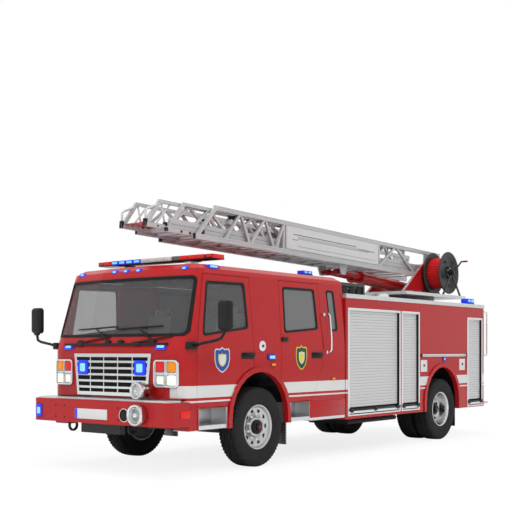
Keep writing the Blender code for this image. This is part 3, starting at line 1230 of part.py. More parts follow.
def make_bumper(vehicle):
    """A deep channel bumper with wings that run back to the cab's corners, and its deck."""
    low, high = BUMPER_Z
    half = BUMPER_HALF_WIDTH
    corner = BUMPER_CORNER
    outer = [(BUMPER_WING_REAR_X, -half)] + arc((BUMPER_FRONT_X - corner, -half + corner), corner, -90, 0, 4)
    outer += arc((BUMPER_FRONT_X - corner, half - corner), corner, 0, 90, 4) + [(BUMPER_WING_REAR_X, half)]
    bumper = plate_z(outer, BUMPER_Z)
    inner_half = half - BUMPER_WALL
    cut(bumper, box((BUMPER_WING_REAR_X - OVERRUN, BUMPER_FRONT_X - BUMPER_WALL), (-inner_half, inner_half),
                    (low - OVERRUN, high - 0.02)))
    deck = plate_z([(CAB_NOSE_X + 0.006, -half + 0.03), (BUMPER_FRONT_X - 0.02, -half + 0.08),
                    (BUMPER_FRONT_X - 0.02, half - 0.08), (CAB_NOSE_X + 0.006, half - 0.03)],
                   (high - 0.004, BUMPER_DECK_TOP_Z))
    tow_box = box((RAIL_X[1] + 0.01, BUMPER_FRONT_X - 0.05), (-TOW_BOX_HALF, TOW_BOX_HALF), (0.50, low + 0.06))
    arms = [box((RAIL_X[1] + FIT, BUMPER_FRONT_X - 0.03), sorted((sign * (TOW_BOX_HALF - 0.05), sign * (RAIL_OUTER_Y + 0.03))),
                (low + 0.01, RAIL_Z[1] - 0.02)) for sign in (1, -1)]
    fuse(bumper, deck, tow_box, *arms)
    cut(bumper, rod((BUMPER_FRONT_X - BUMPER_WALL - OVERRUN, SPEAKER_Y, SPEAKER_Z),
                    (BUMPER_FRONT_X + OVERRUN, SPEAKER_Y, SPEAKER_Z), SPEAKER_RADIUS * 0.8, 16))
    vehicle.piece("front_bumper", bumper, "red_paint", smooth_angle=35)


def make_speakers(vehicle):
    """The round chrome speaker in the bumper, and the siren on its deck."""
    radius = SPEAKER_RADIUS
    front = BUMPER_FRONT_X
    profile = [
        (0.0, -0.10), (radius * 0.75, -0.10), (radius * 0.75, FIT), (radius, FIT), (radius, SPEAKER_PROUD - 0.02),
        (radius - 0.012, SPEAKER_PROUD), (radius - 0.025, SPEAKER_PROUD), (radius - 0.035, 0.07), (radius * 0.35, 0.035),
        (radius * 0.25, 0.085), (0.0, 0.095),
    ]
    speaker = turned(profile, 16, (front, SPEAKER_Y, SPEAKER_Z), "X")
    vehicle.piece("speaker", speaker, "chrome", smooth_angle=35)
    back, nose = SIREN_X
    radius = SIREN_RADIUS
    length = nose - back
    profile = [
        (0.0, -0.05), (0.06, -0.05), (0.062, -0.01), (radius * 0.8, 0.0), (radius, length * 0.3),
        (radius, length - 0.015), (radius - 0.012, length), (radius - 0.022, length), (radius - 0.03, length - 0.05),
        (0.04, length - 0.07), (0.03, length - 0.02), (0.0, length - 0.015),
    ]
    siren = turned(profile, 14, (back, SIREN_Y, SIREN_Z), "X")
    fuse(siren, box((back + 0.02, back + 0.10), (SIREN_Y - 0.05, SIREN_Y + 0.05), (BUMPER_DECK_TOP_Z + FIT, SIREN_Z - 0.06)))
    vehicle.piece("siren", siren, "chrome", smooth_angle=35)


def nose_bends(z):
    """The places across the cab's front, as (y, x), where its faces meet at a height."""
    return sorted((y, x) for x, y, height in cab_ring(between_levels(z))[1:-1])


def nose_x(y, z):
    """Where the cab's front lies at a place across it and a height."""
    bends = nose_bends(z)
    for (y0, x0), (y1, x1) in zip(bends, bends[1:]):
        if y <= y1:
            return x0 + (x1 - x0) * (y - y0) / (y1 - y0)
    return bends[-1][1]


def follow_nose(shape):
    """Bends a piece that was made flat, so that it follows the cab's bowed front."""
    for vertex in shape.data.vertices:
        vertex.co.x += nose_x(vertex.co.y, vertex.co.z)
    return shape


def strip_y(y, z, depth):
    """A flat bar across the nose, divided where the cab's faces meet: y and z limits, and how far out it lies."""
    rings = []
    inside = [bend for bend, x in nose_bends(z[0]) if y[0] + MM < bend < y[1] - MM]
    for place in (y[0], *inside, y[1]):
        rings.append([(depth[0], place, z[0]), (depth[1], place, z[0]), (depth[1], place, z[1]), (depth[0], place, z[1])])
    return loft(rings, "strip")


def make_grille(vehicle):
    """A chrome surround with cross bars and posts, over a black back."""
    low, high = GRILLE_Z
    top, bottom = GRILLE_TOP_HALF, GRILLE_BOTTOM_HALF
    back, face = FIT, GRILLE_PROUD

    def half_at(z):
        return bottom + (top - bottom) * (z - low) / (high - low)

    grille = strip_y((-half_at(low), half_at(low)), (low, low + GRILLE_FRAME), (back, face))
    fuse(grille, strip_y((-half_at(high), half_at(high)), (high - GRILLE_FRAME, high), (back, face)))
    for sign in (1, -1):
        post = loft([[(x, sign * (half_at(z) - inset), z) for x, inset in
                      ((back, 0.0), (face - MM, 0.0), (face - MM, GRILLE_FRAME), (back, GRILLE_FRAME))]
                     for z in (low + MM, high - MM)])
        fuse(grille, post)
    pitch = (high - low - GRILLE_FRAME) / (GRILLE_BARS + 1)
    for i in range(GRILLE_BARS):
        z = low + GRILLE_FRAME / 2 + (i + 1) * pitch
        fuse(grille, strip_y((-half_at(z) + 0.01, half_at(z) - 0.01), (z - 0.014, z + 0.014), (back + 0.002, face - 0.004)))
    for i in range(GRILLE_POSTS):
        y = bottom * (2 * (i + 1) / (GRILLE_POSTS + 1) - 1)
        fuse(grille, box((back + 0.001, face - 0.008), (y - 0.008, y + 0.008), (low + 0.01, high - 0.01)))
    vehicle.piece("grille", follow_nose(grille), "chrome")


def make_headlights(vehicle):
    """A bezel that follows the nose, with four round lenses."""
    y0, y1 = HEADLIGHT_Y
    low, high = HEADLIGHT_Z
    bezel = strip_y(HEADLIGHT_Y, HEADLIGHT_Z, (FIT, 0.03))
    for y in LENS_COLUMNS:
        for z in LENS_ROWS:
            ring = rod((0.012, y, z), (0.03 + OVERRUN, y, z), LENS_RADIUS, 12)
            cut(bezel, ring)
            fuse(bezel, turned([(0.0, 0.010), (LENS_RADIUS * 0.9, 0.010), (LENS_RADIUS * 0.9, 0.024), (0.0, 0.036)],
                               12, (0, y, z), "X"))
    left = follow_nose(bezel)
    right = mirrored(left)
    vehicle.piece("headlight_left", left, "chrome", smooth_angle=35)
    vehicle.piece("headlight_right", right, "chrome", smooth_angle=35)


def make_lightbar(vehicle):
    bar = plate_y(rounded((LIGHTBAR_X[0], LIGHTBAR_Z[0]), (LIGHTBAR_X[1], LIGHTBAR_Z[1]), 0.02), (-LIGHTBAR_HALF, LIGHTBAR_HALF))
    for sign in (1, -1):
        y = sign * LIGHTBAR_FEET_Y
        fuse(bar, box((LIGHTBAR_X[0] + 0.06, LIGHTBAR_X[1] - 0.06), (y - 0.06, y + 0.06),
                      (ROOF_CROWN_Z + FIT, LIGHTBAR_Z[0] + 0.01)))
    vehicle.piece("lightbar", bar, "lamp_red")


def make_mirrors(vehicle):
    head = plate_z(rounded((MIRROR_HEAD_X[0], MIRROR_HEAD_Y[0]), (MIRROR_HEAD_X[1], MIRROR_HEAD_Y[1]), 0.03), MIRROR_HEAD_Z)
    foot, elbow = Vector(MIRROR_FOOT), Vector(MIRROR_ELBOW)
    middle_y = (MIRROR_HEAD_Y[0] + MIRROR_HEAD_Y[1]) / 2
    low_arm = rod(foot, elbow, MIRROR_TUBE, 8)
    riser = rod(elbow - Vector((0, 0.01, 0.01)), (MIRROR_HEAD_X[0] + 0.05, middle_y, MIRROR_HEAD_Z[0] + 0.05), MIRROR_TUBE * 0.95, 8)
    seat = box((foot.x - 0.05, foot.x + 0.05), (foot.y - 0.02, foot.y + 0.03), (foot.z - 0.03, foot.z + 0.03))
    mirror = fuse(head, low_arm, riser, seat)
    cut(mirror, cab_form(-FIT))
    right = mirrored(mirror)
    vehicle.piece("mirror_left", mirror, "black_plastic")
    vehicle.piece("mirror_right", right, "black_plastic")


# Steps under the cab doors
FRONT_STEP_X = (0.70, 1.23)
REAR_STEP_X = (-1.15, -0.70)
STEP_SLAB_Z = (0.57, 0.62)
STEP_BOX_TOP_Z = CAB_SILL_Z - FIT
STEP_INNER_Y = 0.98
SUBFRAME_Y = (0.37, 0.43)
SUBFRAME_Z = (RAIL_Z[1] + FIT, FLOOR_Z - FLOOR_THICKNESS - FIT)
CORNER_PIECE_X = (1.23, 1.405)
SILL_STRIP_REAR_X = CAB_REAR_X


def make_steps(vehicle):
    """The cab's subframe with its four step wells, corner pieces, sill strips and front mud flaps, all one weldment."""
    steps = None
    side = HALF_WIDTH - 2 * MM
    skin = 0.02
    inner_z = SUBFRAME_Z[0] + 0.01
    for sign in (1, -1):
        shapes = []
        for front, rear in (FRONT_STEP_X[::-1], REAR_STEP_X[::-1]):
            shapes.append(box((rear, front), (STEP_INNER_Y, side), STEP_SLAB_Z))
            shapes.append(box((rear - skin, front + skin), (STEP_INNER_Y - skin, STEP_INNER_Y + MM), (STEP_SLAB_Z[0], inner_z)))
            shapes.append(box((rear - skin, rear + MM), (STEP_INNER_Y - skin / 2, side - MM), (STEP_SLAB_Z[0], STEP_BOX_TOP_Z)))
            shapes.append(box((front - MM, front + skin), (STEP_INNER_Y - skin / 2, side - MM), (STEP_SLAB_Z[0], STEP_BOX_TOP_Z)))
            middle = (front + rear) / 2
            shapes.append(box((middle - 0.05, middle + 0.05), (-MM, STEP_INNER_Y), (SUBFRAME_Z[0] + 0.002, SUBFRAME_Z[1] - 0.002)))
        shapes.append(box((CAB_REAR_X + 0.1, FRONT_STEP_X[1]), SUBFRAME_Y, SUBFRAME_Z))
        shapes.append(box(CORNER_PIECE_X, (STEP_INNER_Y, side - 0.01), (STEP_SLAB_Z[0] - 0.01, STEP_BOX_TOP_Z)))
        shapes.append(box((SILL_STRIP_REAR_X, REAR_STEP_X[0]), (STEP_INNER_Y, side), (0.555, 0.595)))
        shapes.append(box((SILL_STRIP_REAR_X, SILL_STRIP_REAR_X + 0.05), (STEP_INNER_Y, side - MM), (0.56, STEP_BOX_TOP_Z)))
        shapes.append(box((FRONT_MUDFLAP_X - MUDFLAP_THICKNESS, FRONT_MUDFLAP_X), (MUDFLAP_OUTER_Y - 0.30, MUDFLAP_OUTER_Y),
                          (FRONT_MUDFLAP_BOTTOM_Z, STEP_SLAB_Z[0] + 0.2)))
        shapes.append(box((REAR_STEP_X[1] - 0.01, FRONT_MUDFLAP_X - MM), (STEP_INNER_Y, MUDFLAP_OUTER_Y - 0.01),
                          (STEP_SLAB_Z[0] + 0.15, STEP_SLAB_Z[0] + 0.18)))
        for shape in shapes:
            if sign < 0:
                left, shape = shape, mirrored(shape)
                bpy.data.objects.remove(left, do_unlink=True)
            steps = shape if steps is None else fuse(steps, shape)
    vehicle.piece("cab_steps", steps, "chassis_black")


WIPER_Z = 1.70
WIPER_PIVOTS_Y = (-0.62, 0.45)
WIPER_REACH = (0.62, 0.085)
DASH_X = (0.86, 1.32)
DASH_TOP_Z = 1.62
DASH_HALF = 1.10
WHEEL_HUB = (0.74, 0.62, 1.66)
WHEEL_RING_RADIUS = 0.215
WHEEL_RING_TUBE = 0.017
WHEEL_TILT = 38
COLUMN_RADIUS = 0.035
SEAT_WIDTH = 0.50
SEAT_Y = 0.66
SEAT_CUSHION_Z = (1.42, 1.55)
SEAT_BACK_TOP_Z = 2.16
SEAT_FRONT_X = 0.42
SEAT_DEPTH = 0.46
BENCH_X = (-1.95, -1.45)
BENCH_HALF = 1.02
BENCH_CUSHION_Z = (1.45, 1.56)
BENCH_TOP_Z = 2.12


def make_wipers(vehicle):
    """Both wipers and the cowl rail that carries them, following the nose."""
    rail = strip_y((-0.95, 0.95), (WIPER_Z - 0.075, WIPER_Z - 0.045), (MM, 0.03))
    for y in WIPER_PIVOTS_Y:
        fuse(rail, box((0.004, 0.035), (y - 0.06, y + 0.06), (WIPER_Z - 0.08, WIPER_Z - 0.03)))
        rings = []
        for share in (0, 0.25, 0.5, 0.75, 1):
            place = y + WIPER_REACH[0] * (share - 0.1)
            z = WIPER_Z - 0.045 + WIPER_REACH[1] * share
            half = 0.012 - 0.006 * share
            rings.append([(0.012, place, z - half), (0.028, place, z - half), (0.028, place, z + half), (0.012, place, z + half)])
        fuse(rail, loft(rings))
    vehicle.piece("wipers", follow_nose(rail), "black_plastic")


def make_interior(vehicle):
    dash = plate_y([(DASH_X[0], 1.44), (DASH_X[0] + 0.06, FLOOR_Z + 0.20), (DASH_X[1], FLOOR_Z + FIT),
                    (DASH_X[1] + 0.05, FLOOR_Z + FIT), (DASH_X[1] + 0.05, DASH_TOP_Z), (DASH_X[0] + 0.05, DASH_TOP_Z + 0.02)],
                   (-DASH_HALF, DASH_HALF))
    cut(dash, box((TUNNEL_REAR_X, TUNNEL_FRONT_X + FIT), (-TUNNEL_HALF_WIDTH - FIT, TUNNEL_HALF_WIDTH + FIT),
                  (FLOOR_Z - OVERRUN, TUNNEL_TOP_Z + FIT)))
    tilt = math.radians(WHEEL_TILT)
    hub = Vector(WHEEL_HUB)
    axis = Vector((-math.sin(tilt), 0, math.cos(tilt)))
    column_end = hub - axis * 0.02
    column = rod(column_end - axis * 0.26, column_end - axis * FIT, COLUMN_RADIUS, 12)
    fuse(dash, column)
    fuse(dash, beam(column_end - axis * 0.20, (DASH_X[0] + 0.10, hub.y, column_end.z - 0.12), 0.07, 0.06))
    vehicle.piece("dashboard", dash, "black_plastic")

    turn = axis.to_track_quat("Z", "Y").to_matrix().to_4x4()
    ring = turned([(WHEEL_RING_RADIUS + WHEEL_RING_TUBE * math.cos(a), WHEEL_RING_TUBE * math.sin(a))
                   for a in [math.radians(60 * i) for i in range(6)]], 16, (0, 0, 0), "Z")
    hub_disc = rod((0, 0, -0.018), (0, 0, 0.02), 0.05, 10)
    fuse(ring, hub_disc)
    for angle in (90, 210, 330):
        a = math.radians(angle)
        fuse(ring, beam((0, 0, 0), ((WHEEL_RING_RADIUS) * math.cos(a), WHEEL_RING_RADIUS * math.sin(a), 0), 0.03, 0.014))
    ring.data.transform(Matrix.Translation(hub) @ turn)
    vehicle.pivot("steering_wheel", hub)
    vehicle.piece("steering_wheel", ring, "black_plastic", "steering_wheel", 35)

    for name, sign in (("seat_driver", 1), ("seat_officer", -1)):
        y = sign * SEAT_Y
        half = SEAT_WIDTH / 2
        rear = SEAT_FRONT_X - SEAT_DEPTH
        low, high = SEAT_CUSHION_Z
        profile = [
            (SEAT_FRONT_X, low), (SEAT_FRONT_X, high - 0.03), (SEAT_FRONT_X - 0.05, high), (rear + 0.06, high - 0.01),
            (rear - 0.02, SEAT_BACK_TOP_Z - 0.30), (rear - 0.05, SEAT_BACK_TOP_Z), (rear - 0.15, SEAT_BACK_TOP_Z),
            (rear - 0.15, SEAT_BACK_TOP_Z - 0.30), (rear - 0.08, low),
        ]
        seat = plate_y(profile, (y - half, y + half))
        for edge in (-1, 1):
            side = y + edge * half
            cut(seat, box((rear - 0.3, rear + 0.05), sorted((side, side - edge * 0.12)),
                          (SEAT_BACK_TOP_Z - 0.20, SEAT_BACK_TOP_Z + OVERRUN)))
        inner, outer = sign * (TUNNEL_HALF_WIDTH + 0.03), sign * (WELL_INNER_Y - WELL_WALL - 0.01)
        fuse(seat, box((rear, SEAT_FRONT_X - 0.04), sorted((inner, outer)), (FLOOR_Z + FIT, low + 0.01)))
        vehicle.piece(name, seat, "seat_fabric")
    front, rear = BENCH_X[1], BENCH_X[0]
    low, high = BENCH_CUSHION_Z
    profile = [(front, FLOOR_Z + FIT), (front, high - 0.03), (front - 0.04, high), (rear + 0.14, high - 0.01),
               (rear + 0.10, BENCH_TOP_Z), (rear + 0.01, BENCH_TOP_Z), (rear + 0.01, FLOOR_Z + FIT)]
    vehicle.piece("seat_rear_bench", plate_y(profile, (-BENCH_HALF, BENCH_HALF)), "seat_fabric")


def main():
    clear_scene()
    vehicle = Vehicle()
    make_chassis(vehicle)
    make_drivetrain(vehicle)
    make_wheels(vehicle)
    make_axles(vehicle)
    make_cab_shell(vehicle)
    make_doors(vehicle)
    make_glass(vehicle)
    make_steps(vehicle)
    make_interior(vehicle)
    make_bumper(vehicle)
    make_speakers(vehicle)
    make_grille(vehicle)
    make_headlights(vehicle)
    make_wipers(vehicle)
    make_mirrors(vehicle)
    make_lightbar(vehicle)
    make_body(vehicle)
    make_shutters(vehicle)
    make_deck(vehicle)
    make_rear_step(vehicle)
    make_ladder(vehicle)
    make_turntable(vehicle)
    make_lift(vehicle)
    make_reel(vehicle)


main()
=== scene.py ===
"""Looks, light and camera for the aerial-ladder fire engine.

Places are measured from the front axle on the ground, as in part.py, and AXLE moves them into the model's frame.
"""
import math

import bmesh
import bpy
from mathutils import Matrix, Vector

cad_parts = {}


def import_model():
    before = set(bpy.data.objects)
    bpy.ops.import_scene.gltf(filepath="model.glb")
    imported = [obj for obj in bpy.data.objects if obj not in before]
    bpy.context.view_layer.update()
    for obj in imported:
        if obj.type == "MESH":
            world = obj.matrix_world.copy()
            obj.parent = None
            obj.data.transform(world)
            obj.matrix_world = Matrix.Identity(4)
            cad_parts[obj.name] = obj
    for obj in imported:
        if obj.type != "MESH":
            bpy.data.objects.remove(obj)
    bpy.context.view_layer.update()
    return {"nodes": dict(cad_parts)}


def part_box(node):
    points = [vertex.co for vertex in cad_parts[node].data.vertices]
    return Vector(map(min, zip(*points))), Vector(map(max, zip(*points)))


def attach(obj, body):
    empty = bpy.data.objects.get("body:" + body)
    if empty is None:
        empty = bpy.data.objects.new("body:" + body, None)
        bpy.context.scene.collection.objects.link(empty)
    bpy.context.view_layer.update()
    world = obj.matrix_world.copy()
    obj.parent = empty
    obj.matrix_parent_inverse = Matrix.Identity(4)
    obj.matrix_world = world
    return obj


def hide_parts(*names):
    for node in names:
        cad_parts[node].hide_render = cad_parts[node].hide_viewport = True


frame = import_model()

AXLE = Vector((2.62, 0, 0))
REAR_AXLE_X = -5.19
AXLE_Z = 0.535
AXLES = (AXLE.x, AXLE.x + REAR_AXLE_X)
HALF_WIDTH = 1.25
BACK_X = -6.85
BACK_FACE = BACK_X - 0.0005
ARCH_Z, ARCH_RADIUS = 0.67, 0.67
WELL_HALF, WELL_SIDE, WELL_TOP = 0.662, 1.192, 1.345
BUMPER_X = 1.772
DECK_Z = 2.4152
DECK_TOP = 2.4155
LADDER_DATUM = (-6.50, 3.02)
LADDER_SLOPE = math.radians(1.4)
LADDER_COS, LADDER_SIN = math.cos(LADDER_SLOPE), math.sin(LADDER_SLOPE)


# Materials
class Value:
    """What a node gives; arithmetic on it adds math nodes."""

    def __init__(self, nodes, socket):
        self.nodes, self.socket = nodes, socket

    def __add__(self, other):
        return self.nodes.math("ADD", self, other)

    def __radd__(self, other):
        return self.nodes.math("ADD", other, self)

    def __sub__(self, other):
        return self.nodes.math("SUBTRACT", self, other)

    def __rsub__(self, other):
        return self.nodes.math("SUBTRACT", other, self)

    def __mul__(self, other):
        return self.nodes.math("MULTIPLY", self, other)

    def __pow__(self, other):
        return self.nodes.math("POWER", self, other)

    def __or__(self, other):
        return self.nodes.math("MAXIMUM", self, other)

    def __abs__(self):
        return self.nodes.math("ABSOLUTE", self)

    def sine(self):
        return self.nodes.math("SINE", self)

    def above(self, limit):
        return self.nodes.math("GREATER_THAN", self, limit)

    def below(self, limit):
        return self.nodes.math("LESS_THAN", self, limit)

    def between(self, low, high):
        """1 where the value lies between the limits, else 0."""
        return self.above(low) * self.below(high)

    def spread(self, low, high):
        """A 0 to 1 value mapped to low..high."""
        node = self.nodes.add("ShaderNodeMapRange")
        for value, socket in zip((self, 0.0, 1.0, low, high), node.inputs):
            self.nodes.feed(value, socket)
        return Value(self.nodes, node.outputs[0])


def shade(color, share):
    return tuple(c * share for c in color)


class Nodes:
    """The nodes of a material or world, with short calls for the kinds that this scene uses."""

    def __init__(self, owner):
        owner.use_nodes = True
        self.owner, self.tree = owner, owner.node_tree
        self.shader = self.tree.nodes.get("Principled BSDF")

    def add(self, kind, **settings):
        node = self.tree.nodes.new(kind)
        for key, value in settings.items():
            setattr(node, key, value)
        return node

    def feed(self, value, socket):
        """Links a value to the socket, or sets the socket to a number or colour."""
        if isinstance(value, Value):
            self.tree.links.new(value.socket, socket)
        else:
            socket.default_value = (*value, 1) if isinstance(value, tuple) else value

    def place(self):
        return Value(self, self.add("ShaderNodeTexCoord").outputs["Object"])

    def axes(self):
        split = self.add("ShaderNodeSeparateXYZ")
        self.feed(self.place(), split.inputs[0])
        return [Value(self, socket) for socket in split.outputs]

    def math(self, operation, a, b=0.0):
        node = self.add("ShaderNodeMath", operation=operation)
        for value, socket in zip((a, b), node.inputs):
            self.feed(value, socket)
        return Value(self, node.outputs[0])

    def noise(self, scale, detail=3.0, stretch=None):
        node = self.add("ShaderNodeTexNoise")
        node.inputs["Scale"].default_value, node.inputs["Detail"].default_value = scale, detail
        vector = self.place()
        if stretch:
            mapping = self.add("ShaderNodeMapping")
            mapping.inputs["Scale"].default_value = stretch
            self.feed(vector, mapping.inputs["Vector"])
            vector = Value(self, mapping.outputs[0])
        self.feed(vector, node.inputs["Vector"])
        return Value(self, node.outputs["Fac"])

    def mix(self, mask, first, second):
        node = self.add("ShaderNodeMix", data_type="RGBA")
        for value, socket in zip((mask, first, second), (node.inputs["Factor"], node.inputs[6], node.inputs[7])):
            self.feed(value, socket)
        return Value(self, node.outputs[2])

    def tones(self, mask, color, low, high):
        """One colour from a darker share of it to a lighter one."""
        return self.mix(mask, shade(color, low), shade(color, high))

    def bump(self, height, strength, distance):
        node = self.add("ShaderNodeBump")
        node.inputs["Strength"].default_value, node.inputs["Distance"].default_value = strength, distance
        self.feed(height, node.inputs["Height"])
        self.feed(Value(self, node.outputs[0]), self.shader.inputs["Normal"])

    def finish(self, color, rough, metal=0.0, more=()):
        for name, value in {"Base Color": color, "Roughness": rough, "Metallic": metal, **dict(more)}.items():
            self.feed(value, self.shader.inputs[name])
        return self.owner

    def blend(self, share, first, second, output):
        """Sends the output a mix of two shaders."""
        mixer = self.add("ShaderNodeMixShader")
        for value, socket in zip((share, first, second), mixer.inputs):
            self.feed(value if value is share else Value(self, value.outputs[0]), socket)
        self.feed(Value(self, mixer.outputs[0]), output.inputs["Surface"])


def look(name):
    return Nodes(bpy.data.materials.new(name + "_look"))


BAND, THIN_LINE = (0.97, 1.12), (0.912, 0.934)
RED = (0.37, 0.010, 0.012)
WHITE = (0.60, 0.605, 0.60)
CABIN_DARK = (0.028, 0.0285, 0.03)
WELL_DARK = (0.012, 0.012, 0.013)
GLOSS = {"Coat Weight": 0.32, "Coat Roughness": 0.06, "Specular IOR Level": 0.08}


def paint(name, color, striped=False, rough=0.26):
    """Gloss paint with a faint drift of tone; the striped kind carries the white band, the thin line below it and
    the dark insides of the wheel wells and the cabin."""
    n = look(name)
    tone = n.tones(n.noise(1.7).spread(0.25, 0.75), color, 0.95, 1.05)
    if striped:
        x, y, z = n.axes()
        side, up, low = abs(y), (z - ARCH_Z) ** 2, z.below(WELL_TOP)
        stripes = (y.between(1.0, 1.258) | side.between(1.2, 1.258)) * x.between(AXLE.x - 6.848, AXLE.x + 1.53)
        stripes = stripes * (z.between(*BAND) | z.between(*THIN_LINE))
        for axle in AXLES:
            stripes = stripes * ((x - axle) ** 2 + up).above(ARCH_RADIUS ** 2)
        front, rear = (x.between(axle - WELL_HALF, axle + WELL_HALF) * side.below(WELL_SIDE) * low for axle in AXLES)
        cabin = x.between(AXLE.x - 2.03, AXLE.x + 1.13) * side.below(1.14) * z.between(0.86, 2.60)
        tone = n.mix(front | rear, n.mix(cabin, n.mix(stripes, tone, WHITE), CABIN_DARK), WELL_DARK)
    n.bump(n.noise(1.2, 0), 0.02, 0.002)
    return n.finish(tone, n.noise(3).spread(rough - 0.02, rough + 0.03), 0.0, GLOSS)


def metal(name, color, rough, stretch=None, scale=40, metallic=1.0, drift=0.08, bump=0.03):
    n = look(name)
    grain = n.noise(scale, 4, stretch)
    n.bump(grain, bump, 0.0006)
    return n.finish(n.tones(grain, color, 1 - drift, 1 + drift), grain.spread(rough * 0.85, rough * 1.2), metallic)


def plastic(name, color, rough, scale=160, bump=0.15):
    n = look(name)
    grain = n.noise(scale, 2)
    n.bump(grain, bump, 0.0005)
    return n.finish(n.tones(n.noise(6), color, 0.9, 1.12), grain.spread(rough - 0.06, rough + 0.06), 0.0,
                    {"Specular IOR Level": 0.18})


def lamp(name, color, strength):
    """A coloured lens over a lit lamp, with the lens's own ribs."""
    n = look(name)
    n.bump((n.axes()[2] * 900).sine().spread(0, 1), 0.12, 0.0006)
    return n.finish(n.tones(n.noise(60).spread(0.3, 0.7), color, 0.85, 1), 0.15, 0.0,
                    {"Coat Weight": 0.05, "Coat Roughness": 0.06, "Specular IOR Level": 0.25,
                     "Emission Color": color, "Emission Strength": strength})


def glass(name, color, alpha):
    n = look(name)
    return n.finish(n.tones(n.noise(1.1).spread(0.2, 0.8), color, 0.92, 1.08), 0.04, 0.0,
                    {"Coat Weight": 0.7, "Coat Roughness": 0.06, "Alpha": alpha})


def fabric(name, color):
    """A woven seat cloth: two crossing sets of threads."""
    n = look(name)
    x, y, z = n.axes()
    weave = (((x + z) * 900).sine() * (y * 900).sine()).spread(0, 1)
    n.bump(weave, 0.15, 0.0008)
    return n.finish(n.tones(weave, color, 0.92, 1.08), 0.88, 0.0, {"Sheen Weight": 0.3})


def tyre_rubber():
    n = look("tyre_rubber")
    n.bump(n.noise(90, 5), 0.25, 0.0012)
    return n.finish(n.mix(n.noise(12), (0.012, 0.012, 0.013), (0.022, 0.022, 0.023)), n.noise(30).spread(0.62, 0.8),
                    0.0, {"Specular IOR Level": 0.12})


def ladder_metal():
    """Painted ladder aluminium, with long drawn lines and, on the base section, the white side panels."""
    n = look("ladder")
    x, y, z = n.axes()
    x, z = x - (AXLE.x + LADDER_DATUM[0]), z - LADDER_DATUM[1]
    u, v = x * LADDER_COS + z * LADDER_SIN, z * LADDER_COS - x * LADDER_SIN
    panel = u.between(1.985, 4.69) * v.between(0.004, 0.352) * abs(y).between(0.3445, 0.3535)
    drawn = n.noise(14, 3, (1, 1, 26))
    tone = n.mix(panel, n.mix(drawn, (0.40, 0.40, 0.405), (0.53, 0.53, 0.535)), (0.56, 0.56, 0.56))
    n.bump((v * 330).sine().spread(0, 1) * (1.0 - panel), 0.12, 0.0015)
    return n.finish(tone, drawn.spread(0.34, 0.46), (1.0 - panel) * 0.35)


def tread_bars(n):
    """Short raised bars in two crossing directions, as a height."""
    x, y, z = n.axes()
    along = x + z * 0.7
    return ((along + y) * 200).sine() * ((along - y) * 200).sine() | 0.15


def tread_plate():
    n = look("tread_plate")
    bars = tread_bars(n)
    n.bump(bars, 0.6, 0.003)
    # painted highlight: the raised bars are lighter than the plate between them
    return n.finish(n.tones(bars.spread(0, 1), (0.56, 0.57, 0.58), 0.8, 1.2), 0.36, 0.85)


def deck_plate():
    """Tread plate on the body's deck, with the black rack that stands on it."""
    n = look("deck")
    bars, rack = tread_bars(n), n.axes()[2].above(2.4175)
    n.bump(bars * (1.0 - rack), 0.5, 0.003)
    # painted highlight: the raised bars are lighter than the plate between them
    tone = n.mix(bars.spread(0, 1), (0.54, 0.545, 0.55), (0.72, 0.725, 0.73))
    return n.finish(n.mix(rack, tone, (0.018, 0.018, 0.019)), 0.36, (1.0 - rack) * 0.6)


def masked_red(name, areas):
    """Red paint with areas of other looks, given as (mask, colour, metallic); the bright ones carry tread bars,
    coloured lighter as a painted highlight.
    """
    n = look(name)
    tone, shine = n.tones(n.noise(1.7).spread(0.25, 0.75), RED, 0.95, 1.05), 0.0
    for mask, color, metallic in areas(*n.axes()):
        tone, shine = n.mix(mask, tone, color), n.math("MAXIMUM", shine, mask * metallic)
    bars = tread_bars(n) * shine.above(0.4)
    n.bump(bars, 0.5, 0.003)
    # painted highlight: the raised bars are mixed towards a light grey
    return n.finish(n.mix(bars * 0.6, tone, (0.80, 0.80, 0.81)), n.noise(9).spread(0.28, 0.36), shine, GLOSS)


def turntable_areas(x, y, z):
    stand, deck = abs(y).above(0.405) * z.above(2.6015), z.below(2.6015)
    return (stand, (0.02, 0.02, 0.021), 0.1), (deck, (0.58, 0.585, 0.59), 0.5)


def step_areas(x, y, z):
    """The bright step slabs, with their dark undersides."""
    slabs = x.below(AXLE.x + 1.2315) | z.below(0.566)
    return (slabs, (0.56, 0.57, 0.58), 0.75), (z.below(0.553), (0.012, 0.012, 0.013), 0.0)


def bumper_areas(x, y, z):
    return (z.above(0.9255), (0.58, 0.59, 0.60), 0.6), (z.below(0.6245), (0.014, 0.014, 0.015), 0.0)


